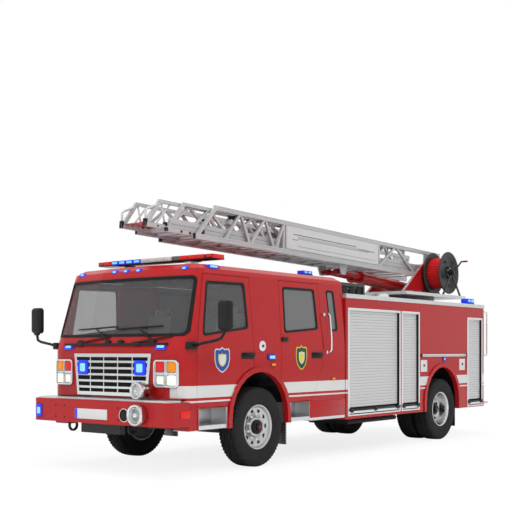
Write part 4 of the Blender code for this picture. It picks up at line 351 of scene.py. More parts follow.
LOOKS = {
    "red": paint("red_paint", RED, True),
    "red_plain": paint("red_plain", RED),
    "white": paint("white_paint", WHITE),
    "shield_gold": paint("shield_gold", (0.60, 0.55, 0.06), False, 0.32),
    "shield_green": paint("shield_green", (0.015, 0.06, 0.03), False, 0.32),
    "shield_blue": paint("shield_blue", (0.02, 0.07, 0.32), False, 0.32),
    "turntable": masked_red("turntable", turntable_areas),
    "steps": masked_red("cab_steps", step_areas),
    "bumper": masked_red("bumper", bumper_areas),
    "deck": deck_plate(),
    "tread": tread_plate(),
    "tyre": tyre_rubber(),
    "ladder": ladder_metal(),
    "black": plastic("black_plastic", (0.011, 0.011, 0.012), 0.45),
    "black_gloss": plastic("black_gloss", (0.012, 0.012, 0.013), 0.2, bump=0.03),
    "rubber": plastic("seal_rubber", (0.009, 0.009, 0.009), 0.6),
    "chassis": plastic("chassis_black", (0.014, 0.014, 0.015), 0.65, 60),
    # painted shade: nearly black and with little shine, for the dark depth behind the grille
    "painted_depth_shade": plastic("painted_depth_shade", (0.003, 0.003, 0.003), 0.9),
    "reel_dark": plastic("reel_flange", (0.036, 0.037, 0.040), 0.4, 60, 0.1),
    "red_hose": plastic("red_hose", (0.55, 0.016, 0.018), 0.45, 240, 0.3),
    "trim_dark": plastic("cab_trim", (0.05, 0.051, 0.053), 0.6, 90),
    "chrome": metal("chrome", (0.66, 0.665, 0.67), 0.12, scale=20, drift=0.03, bump=0.01),
    "bright": metal("bright_trim", (0.68, 0.69, 0.70), 0.28, (6, 6, 1), metallic=0.85),
    "dish": metal("wheel_dish", (0.58, 0.585, 0.59), 0.14, None, 14, 1.0, 0.05, 0.06),
    "shutter": metal("shutter", (0.53, 0.535, 0.54), 0.45, (1, 1, 22), 12, 0.15, 0.03),
    "wheel": metal("wheel_silver", (0.50, 0.505, 0.51), 0.30, None, 30, 0.85, 0.04),
    "iron": metal("cast_iron", (0.06, 0.06, 0.062), 0.62, None, 70, 0.35, 0.2, 0.3),
    "lamp_shade": metal("lamp_shade", (0.10, 0.10, 0.105), 0.3, metallic=0.6),
    "lamp_clear": metal("lamp_clear", (0.70, 0.71, 0.72), 0.18, scale=110, metallic=0.7, drift=0.2, bump=0.5),
    "mirror_face": metal("mirror_face", (0.75, 0.76, 0.77), 0.05, scale=3, drift=0.01, bump=0.002),
    "ladder_grey": metal("ladder_grey", (0.42, 0.42, 0.425), 0.4, (1, 1, 20), 14, 0.3, 0.06),
    "ladder_rail": metal("ladder_rail", (0.56, 0.56, 0.565), 0.36, None, 30, 0.3, 0.05),
    # painted shade: dark strips laid on the ladder's faces for the shadow inside its grooves and slots
    "ladder_shadow": metal("ladder_slot_shade", (0.16, 0.155, 0.155), 0.55, None, 40, 0.1, 0.08),
    "side_glass": glass("side_glass", (0.110, 0.111, 0.113), 0.36),
    "rear_glass": glass("rear_glass", (0.088, 0.089, 0.091), 0.93),
    "front_glass": glass("front_glass", (0.110, 0.112, 0.116), 0.27),
    "seat": fabric("seat_cloth", (0.30, 0.31, 0.32)),
    "seat_piping": fabric("seat_piping", (0.03, 0.031, 0.033)),
    "lamp_red": lamp("lamp_red", (0.62, 0.012, 0.012), 0.16),
    "lamp_blue": lamp("lamp_blue", (0.012, 0.035, 0.62), 0.55),
    "lamp_blue_core": lamp("lamp_blue_core", (0.16, 0.45, 0.95), 0.85),
    "lamp_amber": lamp("lamp_amber", (0.80, 0.26, 0.006), 0.12),
    "lamp_white": lamp("lamp_white", (0.60, 0.61, 0.60), 0.05),
    "lamp_lit": lamp("lamp_lit", (0.90, 0.88, 0.66), 0.45),
    "lamp_grey": lamp("lamp_grey", (0.12, 0.125, 0.13), 0.01),
}


# Building pieces
def flip(form):
    """Makes a form its own mirror image on the vehicle's other side."""
    for vertex in form.verts:
        vertex.co.y = -vertex.co.y
    bmesh.ops.reverse_faces(form, faces=form.faces)


class Piece:
    """A piece of the visual model under construction, made of several forms in several looks."""

    def __init__(self, name):
        self.name, self.looks, self.mesh = name, [], bmesh.new()

    def take(self, form):
        mesh = bpy.data.meshes.new("form")
        form.to_mesh(mesh)
        self.mesh.from_mesh(mesh)
        bpy.data.meshes.remove(mesh)
        form.free()

    def add(self, points, faces, look, smooth=False, bevel=0.0):
        if look not in self.looks:
            self.looks.append(look)
        form = bmesh.new()
        corners = [form.verts.new(p) for p in points]
        for face in faces:
            form.faces.new([corners[i] for i in face])
        bmesh.ops.recalc_face_normals(form, faces=form.faces)
        if bevel:
            bmesh.ops.bevel(form, geom=form.edges[:], offset=bevel, segments=2, affect="EDGES", profile=0.5,
                            clamp_overlap=True)
        for face in form.faces:
            face.material_index = self.looks.index(look)
            face.smooth = smooth or bool(bevel)
        self.take(form)

    def box(self, low, high, look, bevel=0.004):
        points = [(x, y, z) for x in (low[0], high[0]) for y in (low[1], high[1]) for z in (low[2], high[2])]
        faces = [(0, 1, 3, 2), (4, 6, 7, 5), (0, 4, 5, 1), (2, 3, 7, 6), (0, 2, 6, 4), (1, 5, 7, 3)]
        self.add(points, faces, look, False, min(bevel, 0.3 * min(b - a for a, b in zip(low, high))))

    def loft(self, loops, look, smooth=False, bevel=0.0, closed=False):
        """A skin over loops of equal length; closed where the last meets the first, else capped at both ends."""
        n = len(loops[0])
        starts = [k * n for k in range(len(loops))]
        pairs = list(zip(starts, starts[1:])) + [(starts[-1], 0)] * closed
        faces = [(a + i, a + (i + 1) % n, b + (i + 1) % n, b + i) for a, b in pairs for i in range(n)]
        if not closed:
            faces += [tuple(range(n)), tuple(range(starts[-1], starts[-1] + n))]
        self.add([p for loop in loops for p in loop], faces, look, smooth, bevel)

    def plate(self, outline, push, look, bevel=0.0):
        """An outline in space, given a thickness along a vector."""
        self.loft([[Vector(p) for p in outline], [Vector(p) + Vector(push) for p in outline]], look, False, bevel)

    def band(self, outer, inner, push, look, bevel=0.0):
        """The strip between two outlines of equal length, given a thickness along a vector."""
        loops = [[Vector(p) + Vector(by) for p in line] for line, by in
                 ((outer, (0, 0, 0)), (inner, (0, 0, 0)), (inner, push), (outer, push))]
        self.loft(loops, look, False, bevel, True)

    def turned(self, profile, look, centre, sides, axis="y", closed=False, smooth=True):
        """A profile of (radius, place along the axis), turned about the axis; closed where it returns to its start."""
        loops = []
        for radius, along in profile:
            loop = []
            for i in range(sides):
                c, s = (radius * f(2 * math.pi * i / sides) for f in (math.cos, math.sin))
                loop.append(Vector(centre) + Vector({"x": (along, c, s), "y": (s, along, c), "z": (c, s, along)}[axis]))
            loops.append(loop)
        self.loft(loops, look, smooth, 0.0, closed)

    def ring(self, profile, look, centre, sides, axis="y"):
        self.turned(profile, look, centre, sides, axis, True)

    def stud(self, radius, low, high, rise, look, centre, sides, axis="y"):
        """A short round peg with a slightly raised middle."""
        self.turned([(radius, low), (radius, high), (0.0, high + rise)], look, centre, sides, axis)

    def tube(self, path, radius, look, sides=14, closed=False, flat=1.0):
        """A round bar along a path; flat squeezes its section."""
        path, loops, side = [Vector(p) for p in path], [], None
        last = len(path) - 1
        for i, p in enumerate(path):
            before = path[i - 1] if i or closed else p
            after = path[(i + 1) % len(path)] if i < last or closed else p
            way = ((after - p).normalized() + (p - before).normalized()).normalized()
            side = side or way.orthogonal().normalized()
            side = (side - way * side.dot(way)).normalized()
            up = way.cross(side)
            turns = [2 * math.pi * j / sides for j in range(sides)]
            loops.append([p + side * radius * math.cos(a) + up * flat * radius * math.sin(a) for a in turns])
        self.loft(loops, look, True, 0.0, closed)

    def mirror(self):
        """Adds the same forms on the vehicle's other side."""
        copy = self.mesh.copy()
        flip(copy)
        self.take(copy)

    def done(self, body="vehicle", slot="black_plastic", stands_for=()):
        mesh = bpy.data.meshes.new(self.name)
        self.mesh.transform(Matrix.Translation(AXLE))
        self.mesh.to_mesh(mesh)
        self.mesh.free()
        for name in self.looks:
            mesh.materials.append(LOOKS[name])
        obj = bpy.data.objects.new(self.name, mesh)
        bpy.context.scene.collection.objects.link(obj)
        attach(obj, body)
        if stands_for:
            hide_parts(*stands_for)
        return obj


def both_sides(make, name, body="vehicle", slot="black_plastic", stands_for=None):
    """Makes a piece for the left side, and its mirror image for the right; SIDE stands for the side in names."""
    for side in ("left", "right"):
        piece = Piece(f"{name}_{side}")
        make(piece)
        if side == "right":
            flip(piece.mesh)
        piece.done(body.replace("SIDE", side), slot, [stands_for.replace("SIDE", side)] if stands_for else ())


def round_corners(outline, radius, steps=6):
    """Rounds the corners of a flat outline of (a, b) points."""
    points, n = [], len(outline)
    for i in range(n):
        p = Vector(outline[i])
        before, after = (Vector(outline[i - 1]) - p).normalized(), (Vector(outline[(i + 1) % n]) - p).normalized()
        half = before.angle(after) / 2
        reach = radius / math.tan(half)
        middle = p + (before + after).normalized() * radius / math.sin(half)
        start, end = p + before * reach - middle, p + after * reach - middle
        first = math.atan2(start.y, start.x)
        sweep = (math.atan2(end.y, end.x) - first + math.pi) % (2 * math.pi) - math.pi
        turns = [first + sweep * k / steps for k in range(steps + 1)]
        points += [(middle.x + radius * math.cos(a), middle.y + radius * math.sin(a)) for a in turns]
    return points


def rectangle(a0, b0, a1, b1, radius):
    return round_corners([(a0, b0), (a1, b0), (a1, b1), (a0, b1)], radius)


def moved_in(outline, by):
    """The outline of a convex shape moved in by a width, point by point towards its middle."""
    (a0, a1), (b0, b1) = ((min(line), max(line)) for line in zip(*outline))
    cx, cy, w, h = (a0 + a1) / 2, (b0 + b1) / 2, (a1 - a0) / 2, (b1 - b0) / 2
    return [(cx + (a - cx) * (w - by) / w, cy + (b - cy) * (h - by) / h) for a, b in outline]


def divided(outline, step=0.05):
    """The outline with points added, so that it follows a bowed face."""
    points = []
    for a, b in zip(outline, outline[1:] + outline[:1]):
        n = max(1, math.ceil(math.dist(a, b) / step))
        points += [tuple(p + (q - p) * k / n for p, q in zip(a, b)) for k in range(n)]
    return points


def around(count, radius, turn=0.0):
    turns = [2 * math.pi * (i + turn) / count for i in range(count)]
    return [(radius * math.sin(a), radius * math.cos(a)) for a in turns]


# The cab's outer form, as rows of height, nose, corner, half width, and bow of the nose
CAB_LEVELS = (
    (0.835, 1.532, 1.27, 1.25, 0.045), (1.58, 1.532, 1.27, 1.25, 0.045), (2.545, 1.285, 1.06, 1.195, 0.10),
    (2.60, 1.265, 1.06, 1.175, 0.10), (2.66, 1.185, 1.01, 1.075, 0.10), (2.685, 1.005, 0.91, 0.855, 0.10),
)
CORNER_WIDTH = 0.22


def cab_level(z):
    for low, high in zip(CAB_LEVELS, CAB_LEVELS[1:]):
        if low[0] <= z <= high[0]:
            share = (z - low[0]) / (high[0] - low[0])
            return [a + (b - a) * share for a, b in zip(low, high)]
    return CAB_LEVELS[0] if z < CAB_LEVELS[0][0] else CAB_LEVELS[-1]


def nose_x(y, z):
    """Where the cab's front lies at a place across it and a height."""
    _, nose, corner, half, bow = cab_level(z)
    turn, face = half - CORNER_WIDTH, nose - bow
    bends = [(-turn - CORNER_WIDTH * math.cos(math.radians(a)), corner + (face - corner) * math.sin(math.radians(a)))
             for a in (0, 22.5, 45, 67.5, 90)]
    bends += [(turn * at, face + bow * (1 - at ** 2)) for at in (-0.5, 0.0, 0.5)]
    bends += [(-y1, x1) for y1, x1 in reversed(bends[:5])]
    for (y0, x0), (y1, x1) in zip(bends, bends[1:]):
        if y <= y1:
            return x0 + (x1 - x0) * (y - y0) / (y1 - y0) if y1 > y0 else x0
    return bends[-1][1]


def on_side(outline, out=0.0):
    """Side outline points (x, z) set on the cab's left side, moved out."""
    return [(x, cab_level(z)[3] + out, z) for x, z in outline]


def on_nose(outline, out=0.0):
    """Front outline points (y, z) set on the cab's nose, moved out."""
    return [(nose_x(y, z) + out, y, z) for y, z in outline]


# Wheels
TYRE_WALL = ((0.296, -0.104), (0.312, -0.128), (0.350, -0.140), (0.356, -0.142), (0.362, -0.140), (0.405, -0.1445),
             (0.450, -0.144), (0.485, -0.139), (0.512, -0.132), (0.526, -0.122))
TREAD = ((0.532, -0.110), (0.533, -0.077), (0.521, -0.074), (0.521, -0.066), (0.534, -0.063), (0.535, -0.029),
         (0.522, -0.026), (0.522, -0.018), (0.535, -0.015))
TREAD_BLOCKS = 60
TREAD_GROOVE = 0.015
SHOULDER = range(len(TYRE_WALL) - 2, len(TYRE_WALL) + 2)
HAND_HOLE_CIRCLE, NUT_CIRCLE = 0.225, 0.1675
TENTH_TURN = 0.628


def tyre(name, x, y, body, node):
    profile = TYRE_WALL + TREAD
    profile += tuple((r, -a) for r, a in reversed(profile))
    loops = []
    for k, (radius, along) in enumerate(profile):
        groove = TREAD_GROOVE if min(k, len(profile) - 1 - k) in SHOULDER else 0.0
        turns = [(2 * math.pi * i / (3 * TREAD_BLOCKS), radius - (0.0 if i % 3 else groove))
                 for i in range(3 * TREAD_BLOCKS)]
        loops.append([(x + r * math.sin(a), y + along, AXLE_Z + r * math.cos(a)) for a, r in turns])
    piece = Piece(name)
    piece.loft(loops, "tyre", closed=True)
    piece.done(body, "tyre_rubber", [node])


def wheel_face(piece, x, face, hub, cap):
    """Nuts, hand holes and hub on a wheel's disc, whose face lies at y = face; each hand hole is filled with a black
    disc of painted shade.
    """
    centre = (x, 0, AXLE_Z)
    for a, b in around(10, HAND_HOLE_CIRCLE, 0.5) if face > 1.0 else ():
        at = (x + a, 0, AXLE_Z + b)
        piece.ring([(0.038, face - 0.002), (0.038, face + 0.002), (0.031, face + 0.003), (0.030, face - 0.002)],
                   "wheel", at, 20)
        # painted shade: a black disc in each hand hole, for the dark space inside the wheel
        piece.turned([(0.0305, face - 0.002), (0.0305, face + 0.0006)], "black_gloss", at, 20, smooth=False)
    for a, b in around(10, NUT_CIRCLE):
        piece.turned([(0.0185, face - 0.001), (0.0185, face + 0.004), (0.0165, face + 0.006), (0.0165, face + 0.020),
                      (0.013, face + 0.026), (0.0, face + 0.027)], "bright", (x + a, 0, AXLE_Z + b), 12, smooth=False)
    for profile, name, sides in (
            ([(0.128, face - 0.004), (0.128, face + 0.004), (0.118, face + 0.010), (0.0, face + 0.010)], "wheel", 40),
            ([(0.098, face - 0.004), (0.098, hub - 0.012), (0.088, hub), (0.060, hub + 0.002), (0.0, hub + 0.002)],
             "black", 40),
            ([(0.060, hub), (0.058, cap - 0.006), (0.052, cap - 0.002), (0.0, cap - 0.002)], "black_gloss", 32),
            ([(0.021, cap - 0.003), (0.020, cap - 0.0005), (0.0, cap)], "red_plain", 24)):
        piece.turned(profile, name, centre, sides)


def front_wheel(piece):
    lip, far_lip, disc = 1.2185, 0.962, 1.164
    piece.ring([(0.3005, lip - 0.012), (0.300, lip), (0.290, lip), (0.284, lip - 0.004), (0.276, lip - 0.014),
                (0.270, lip - 0.034), (0.262, disc + 0.006), (0.248, disc + 0.002), (0.236, disc), (0.12, disc),
                (0.12, disc - 0.014), (0.236, disc - 0.014), (0.252, disc - 0.018), (0.262, disc - 0.03),
                (0.268, far_lip + 0.034), (0.276, far_lip + 0.014), (0.290, far_lip), (0.300, far_lip),
                (0.3005, far_lip + 0.012), (0.284, far_lip + 0.030), (0.284, lip - 0.030)], "wheel", (0, 0, AXLE_Z), 96)
    wheel_face(piece, 0.0, disc, 1.222, 1.252)


def rear_wheel(piece):
    """A deep dish with its hand holes, drawn as black plates of painted shade, the inner wheel's rim and disc, and the
    hub.
    """
    centre, disc = (REAR_AXLE_X, 0, AXLE_Z), 0.936
    piece.ring([(0.3005, 1.2065), (0.300, 1.2185), (0.290, 1.2185), (0.284, 1.2145), (0.276, 1.2045), (0.270, 1.184),
                (0.262, 1.150), (0.252, 1.085), (0.238, 1.050), (0.190, 0.980), (0.172, disc), (0.12, disc),
                (0.12, disc - 0.014), (0.180, disc - 0.014), (0.262, 1.030), (0.268, 0.996), (0.276, 0.976),
                (0.290, 0.962), (0.300, 0.962), (0.3005, 0.974), (0.284, 0.992), (0.284, 1.1885)], "dish", centre, 96)
    # Painted shade: each hand hole is a black plate on the dish, for the dark space behind it.
    for k in range(10):
        turns = [(r, TENTH_TURN * k + t) for r, t in ((0.2, 0.16), (0.2, -0.16), (0.228, -0.15), (0.228, 0.15))]
        hole = [(REAR_AXLE_X + r * math.sin(a), 0.980 + (r - 0.190) * 1.458 + 0.0015, AXLE_Z + r * math.cos(a))
                for r, a in turns]
        piece.plate(hole, (0, 0.003, 0), "black")
    piece.ring([(0.3005, 0.634), (0.300, 0.622), (0.284, 0.626), (0.262, 0.66), (0.262, 0.88), (0.30, 0.878),
                (0.3005, 0.866), (0.284, 0.85), (0.284, 0.66)], "wheel", centre, 72)
    piece.ring([(0.10, 0.90), (0.262, 0.90), (0.262, 0.922), (0.10, 0.922)], "wheel", centre, 72)
    wheel_face(piece, REAR_AXLE_X, disc, 1.112, 1.150)


both_sides(front_wheel, "wheel_face_front", "wheel_front_SIDE", "wheel_silver", "rim_front_SIDE")
both_sides(rear_wheel, "wheel_face_rear", "wheel_rear_SIDE", "wheel_silver", "rim_rear_SIDE")
for side, way in (("left", 1), ("right", -1)):
    tyre(f"tread_front_{side}", 0.0, way * 1.09, f"wheel_front_{side}", f"tyre_front_{side}")
    for row, y in (("outer", 1.09), ("inner", 0.75)):
        tyre(f"tread_rear_{side}_{row}", REAR_AXLE_X, way * y, f"wheel_rear_{side}", f"tyre_rear_{side}_{row}")


# Rubber surrounds of the windows
def seal(piece, corners, radius, set_on, deep, push, width):
    opening = divided(round_corners(corners, radius))
    piece.band(set_on(moved_in(opening, -0.006), -deep), set_on(moved_in(opening, width), -deep), push, "rubber", 0.003)
    piece.tube(set_on(moved_in(opening, width + 0.004), 0.001), 0.004, "black_gloss", 8, closed=True)


for name, body, width, corners in (
        ("seal_front_door", "door_front_SIDE", 0.020, ((0.235, 1.852), (1.15, 1.742), (1.045, 2.436), (0.285, 2.446))),
        ("seal_rear_door", "door_rear_SIDE", 0.020,
         ((-1.378, 1.868), (-0.563, 1.805), (-0.557, 2.44), (-1.318, 2.442))),
        ("seal_quarter", "vehicle", 0.016, ((-1.893, 1.852), (-1.702, 1.850), (-1.625, 2.445), (-1.822, 2.442)))):
    both_sides(lambda piece: seal(piece, corners, 0.045, on_side, 0.008, (0, 0.012, 0), width), name, body)
surround = Piece("windshield_surround")
seal(surround, ((-1.195, 1.742), (1.195, 1.742), (1.15, 2.50), (-1.15, 2.50)), 0.07, on_nose, 0.006, (0.012, 0, 0),
     0.022)
surround.done()


# Nose
def grille_back():
    """A black sheet that lies on the bowed nose, with thin bars across it; the sheet is painted shade, standing for the
    dark depth behind the grille.
    """
    back = Piece("grille_back")
    loops = []
    for k in range(7):
        z, half = 1.0 + 0.50 * k / 6, 0.642 + 0.058 * k / 6
        row = [(half * (i / 12 - 1), z) for i in range(25)]
        loops.append(on_nose(row) + on_nose(row[::-1], 0.004))
    # the black sheet: painted shade for the depth behind the grille's bars
    back.loft(loops, "painted_depth_shade")
    for k in range(24):
        z, half = 1.005 + 0.0205 * k, 0.645 + 0.063 * k / 24
        n = math.ceil(2 * half / 0.06)
        back.tube(on_nose([(half * (2 * i / n - 1), z) for i in range(n + 1)], 0.006), 0.004, "black_gloss", 6)
    back.done()


def nose_lamp(piece, y, z, half_wide, half_high, proud):
    """A blue lamp that follows the bowed nose."""
    line = divided(rectangle(y - half_wide, z - half_high, y + half_wide, z + half_high, 0.35 * half_high), 0.04)
    lens = moved_in(line, 0.009)
    piece.band(on_nose(line), on_nose(moved_in(line, 0.010)), (proud, 0, 0), "lamp_blue", 0.003)
    piece.plate(on_nose(lens, 0.001), (proud - 0.004, 0, 0), "lamp_blue", 0.003)
    piece.plate(on_nose(moved_in(lens, 0.35 * half_high), proud - 0.004), (0.003, 0, 0), "lamp_blue_core", 0.001)


def headlights(piece):
    rim = divided(rectangle(0.755, 1.10, 1.135, 1.442, 0.05), 0.04)
    piece.band(on_nose(rim), on_nose(moved_in(rim, 0.020)), (0.030, 0, 0), "chrome", 0.004)
    piece.plate(on_nose(moved_in(rim, 0.018)), (0.012, 0, 0), "chrome", 0.002)
    for y, z, outside, middle in (
            (0.857, 1.354, "lamp_red", "lamp_red"), (1.033, 1.354, "lamp_amber", "lamp_amber"),
            (0.857, 1.188, "lamp_clear", "lamp_lit"), (1.033, 1.188, "lamp_lit", "lamp_lit")):
        cell = divided(rectangle(y - 0.081, z - 0.078, y + 0.081, z + 0.078, 0.022), 0.03)
        inner, lens = moved_in(cell, 0.010), moved_in(cell, 0.017)
        piece.band(on_nose(cell, 0.010), on_nose(inner, 0.010), (0.010, 0, 0), "chrome", 0.003)
        piece.plate(on_nose(inner, 0.009), (0.004, 0, 0), "lamp_shade", 0.001)
        piece.plate(on_nose(lens, 0.011), (0.007, 0, 0), outside, 0.003)
        piece.plate(on_nose(moved_in(lens, 0.018), 0.017), (0.003, 0, 0), middle, 0.0015)


def nose_lamps():
    lamps = Piece("nose_lamps")
    for way in (-1, 1):
        nose_lamp(lamps, way * 0.53, 1.338, 0.094, 0.096, 0.034)
        nose_lamp(lamps, way * 0.859, 1.612, 0.080, 0.042, 0.026)
    lamps.done("vehicle", "lamp_red")


def brow_lamps():
    """Blue lamps along the roof's brow and at its corners."""
    brow = Piece("roof_lamps")
    z = 2.590
    for y in (-0.952, -0.222, 0.0, 0.222, 0.952):
        x = nose_x(y, z)
        brow.box((x - 0.050, y - 0.050, z - 0.010), (x + 0.010, y + 0.050, z + 0.034), "lamp_blue", 0.010)
        brow.box((x - 0.020, y - 0.030, z), (x + 0.014, y + 0.030, z + 0.024), "lamp_blue_core", 0.006)
    for y in (-1.165, 1.165):
        brow.box((0.78, y - 0.045, 2.604), (0.96, y + 0.018, 2.652), "lamp_blue", 0.010)
        brow.box((0.80, y - 0.020, 2.615), (0.94, y + 0.022, 2.642), "lamp_blue_core", 0.006)
    brow.done("vehicle", "lamp_red")


def wiper_arms():
    wiper = Piece("wiper_arms")
    for y0 in (-0.62, 0.16):
        for y in (y0, y0 + 0.55):
            x = nose_x(y, 1.67)
            wiper.box((x + 0.001, y - 0.045, 1.652), (x + 0.034, y + 0.045, 1.696), "black", 0.012)
        wiper.tube(on_nose([(y0 + 0.55, 1.68), (y0 + 0.44, 1.755), (y0 + 0.28, 1.845)], 0.026), 0.011, "black", 10)
        line = [(y0 - 0.10 + 0.085 * k, 1.838 + 0.0035 * k) for k in range(10)]
        wiper.tube(on_nose(line, 0.014), 0.0085, "black", 8)
        wiper.tube([(nose_x(y, z) + 0.006, y, z - 0.008) for y, z in line], 0.004, "rubber", 6)
    wiper.done()


grille_back()
nose_lamps()
both_sides(headlights, "headlamp", "vehicle", "chrome", "headlight_SIDE")
brow_lamps()
wiper_arms()


# Front bumper, with its horn speaker, siren and lamps
def bumper_pieces():
    deck = Piece("bumper_deck")
    deck.plate([(x, y, 0.9245) for x, y in ((1.540, -1.20), (1.745, -1.13), (1.757, -0.6), (1.757, 0.6), (1.745, 1.13),
                                            (1.540, 1.20))], (0, 0, 0.0225), "tread", 0.003)
    deck.done("vehicle", "tread_plate")

    trim = Piece("bumper_fittings")
    trim.box((BUMPER_X - 0.004, -0.42, 0.680), (BUMPER_X + 0.006, 0.18, 0.810), "white", 0.004)
    trim.box((BUMPER_X + 0.005, -0.415, 0.682), (BUMPER_X + 0.0075, -0.375, 0.808), "lamp_blue", 0.001)
    for y in (-0.807, -0.633, 0.373, 0.618):
        for z in (0.84, 0.69):
            trim.turned([(0.012, 0.0), (0.012, 0.003), (0.008, 0.007), (0.0, 0.008)], "black",
                        (BUMPER_X - 0.001, y, z), 16, "x")
    at = (BUMPER_X - 0.001, 0.483, 0.752)
    trim.ring([(0.086, 0.0), (0.086, 0.005), (0.078, 0.009), (0.074, 0.002)], "bright", at, 36, "x")
    trim.stud(0.076, 0.0, 0.002, 0.0, "black", at, 36, "x")
    for way in (-1, 1):
        trim.plate([(x, way * 1.26, z) for x, z in rectangle(1.41, 0.725, 1.585, 0.815, 0.02)], (0, way * 0.012, 0),
                   "lamp_red", 0.003)
        low, high = sorted((way * 0.540, way * 0.564))
        trim.ring([(0.078, low), (0.078, high), (0.050, high), (0.050, low)], "black", (1.69, 0, 0.580), 28)
    trim.done()

    corner = Piece("bumper_corner_lamp")
    corner.box((1.755, -1.196, 0.668), (1.776, -1.076, 0.848), "black", 0.006)
    corner.box((1.770, -1.190, 0.675), (1.788, -1.082, 0.841), "lamp_blue", 0.010)
    corner.box((1.780, -1.166, 0.715), (1.791, -1.106, 0.800), "lamp_blue_core", 0.008)
    corner.done("vehicle", "lamp_red")

    horn, at = Piece("horn_speaker"), (0, 0.77, 0.768)
    horn.turned([(0.040, 1.7725), (0.118, 1.7725), (0.129, 1.784), (0.130, 1.866), (0.126, 1.884), (0.116, 1.889),
                 (0.106, 1.884), (0.100, 1.866), (0.086, 1.83), (0.050, 1.80), (0.0, 1.798)], "chrome", at, 64, "x")
    for outer, inner, front in ((0.090, 0.076, 1.868), (0.060, 0.050, 1.872)):
        horn.ring([(outer, 1.80), (outer, front - 0.004), (outer - 0.004, front), (inner + 0.003, front),
                   (inner, front - 0.005), (inner, 1.80)], "bright", at, 48, "x")
    horn.turned([(0.036, 1.80), (0.036, 1.868), (0.026, 1.880), (0.012, 1.884), (0.0, 1.885)], "chrome", at, 32, "x")
    horn.done("vehicle", "chrome", ["speaker"])

    siren, at = Piece("siren_on_deck"), (0, 0.68, 1.06)
    siren.turned([(0.0, 1.5505), (0.045, 1.553), (0.075, 1.566), (0.088, 1.59), (0.090, 1.66), (0.096, 1.672),
                  (0.107, 1.680), (0.108, 1.740), (0.104, 1.762), (0.094, 1.7745), (0.084, 1.768), (0.078, 1.74),
                  (0.055, 1.72), (0.0, 1.716)], "chrome", at, 60, "x")
    siren.stud(0.082, 1.730, 1.752, 0.004, "lamp_clear", at, 48, "x")
    for r in (0.074, 0.056, 0.038):
        siren.ring([(r, 1.750), (r, 1.760), (r - 0.004, 1.762), (r - 0.006, 1.750)], "bright", at, 40, "x")
    siren.turned([(0.022, 1.75), (0.022, 1.768), (0.014, 1.7745), (0.0, 1.775)], "chrome", at, 24, "x")
    siren.plate([(1.60, 0.645, 0.9465), (1.70, 0.645, 0.9465), (1.68, 0.660, 0.99), (1.62, 0.660, 0.99)], (0, 0.05, 0),
                "chrome", 0.002)
    siren.done("vehicle", "chrome", ["siren"])


bumper_pieces()


# Lightbar and beacons
BAR_ORDER = ("lamp_red",) * 2 + ("lamp_blue",) * 4 + ("lamp_white",) * 4 + ("lamp_grey",) + ("lamp_red",) * 4
BAR_END = 1.10


def beacon(piece, x, y, z, long, wide, high):
    """A blue beacon on its black foot, with two cores."""
    for share_x, share_y, low, top, name, bevel in ((0.5, 0.5, 0.0, 0.22, "black", 0.004),
                                                    (0.46, 0.46, 0.2, 1.0, "lamp_blue", 0.012)):
        piece.box((x - share_x * long, y - share_y * wide, z + low * high),
                  (x + share_x * long, y + share_y * wide, z + top * high), name, bevel)
    for at in (x - 0.2 * long, x + 0.2 * long):
        piece.box((at - 0.14 * long, y - 0.47 * wide, z + 0.42 * high),
                  (at + 0.14 * long, y + 0.47 * wide, z + 0.84 * high), "lamp_blue_core", 0.006)


def lights_on_top():
    bar = Piece("lightbar_lamps")
    outline = round_corners([(0.525, -BAR_END), (0.795, -BAR_END + 0.06), (0.795, BAR_END - 0.06), (0.525, BAR_END)],
                            0.04)
    bar.plate([(x, y, 2.7452) for x, y in outline], (0, 0, 0.008), "black_gloss", 0.002)
    bar.box((0.545, -1.07, 2.752), (0.77, 1.07, 2.803), "black_gloss", 0.003)
    step = (2 * BAR_END - 0.04) / len(BAR_ORDER)
    for i, name in enumerate(BAR_ORDER):
        y = -BAR_END + 0.02 + step * i
        front = 0.768 if i in (0, len(BAR_ORDER) - 1) else 0.790
        bar.box((0.532, y + 0.005, 2.7530), (front, y + step - 0.005, 2.8115), name, 0.009)
        if name != "lamp_grey":
            bar.box((front - 0.006, y + 0.022, 2.768), (front + 0.003, y + step - 0.022, 2.797),
                    "lamp_blue_core" if name == "lamp_blue" else name, 0.004)
    for y in (-0.62, 0.62):
        bar.box((0.575, y - 0.05, 2.676), (0.745, y + 0.05, 2.7460), "bright", 0.010)
        bar.box((0.545, y - 0.07, 2.735), (0.775, y + 0.07, 2.7460), "black_gloss", 0.004)
    bar.done("vehicle", "lamp_red", ["lightbar"])

    roof = Piece("roof_beacons")
    for way in (-1, 1):
        beacon(roof, -1.66, way * 0.80, 2.6845, 0.26, 0.13, 0.07)
        beacon(roof, -6.42, way * 1.13, 2.4145, 0.30, 0.15, 0.11)
    roof.done("vehicle", "lamp_red")


lights_on_top()


# Cab sides: shields, handles, hinges, lamps, skirts, step wells and mirrors
def shield(piece, x, z_low, z_high, width, names):
    """A plain shield in four nested forms, with nothing drawn on it."""
    middle, high = (z_low + z_high) / 2, z_high - z_low
    half = [(0, 0.5), (0.14, 0.42), (0.42, 0.44), (0.5, 0.36), (0.5, -0.02), (0.4, -0.26), (0.2, -0.42), (0, -0.5)]
    outline = half + [(-a, b) for a, b in reversed(half[1:-1])]
    for share, name, lift in zip((1.0, 0.90, 0.52, 0.40), names, (0.0, 0.0012, 0.0024, 0.0034)):
        line = [(x + a * width * share, middle + b * high * share) for a, b in outline]
        piece.plate(on_side(line, lift - 0.001), (0, 0.0018, 0), name)


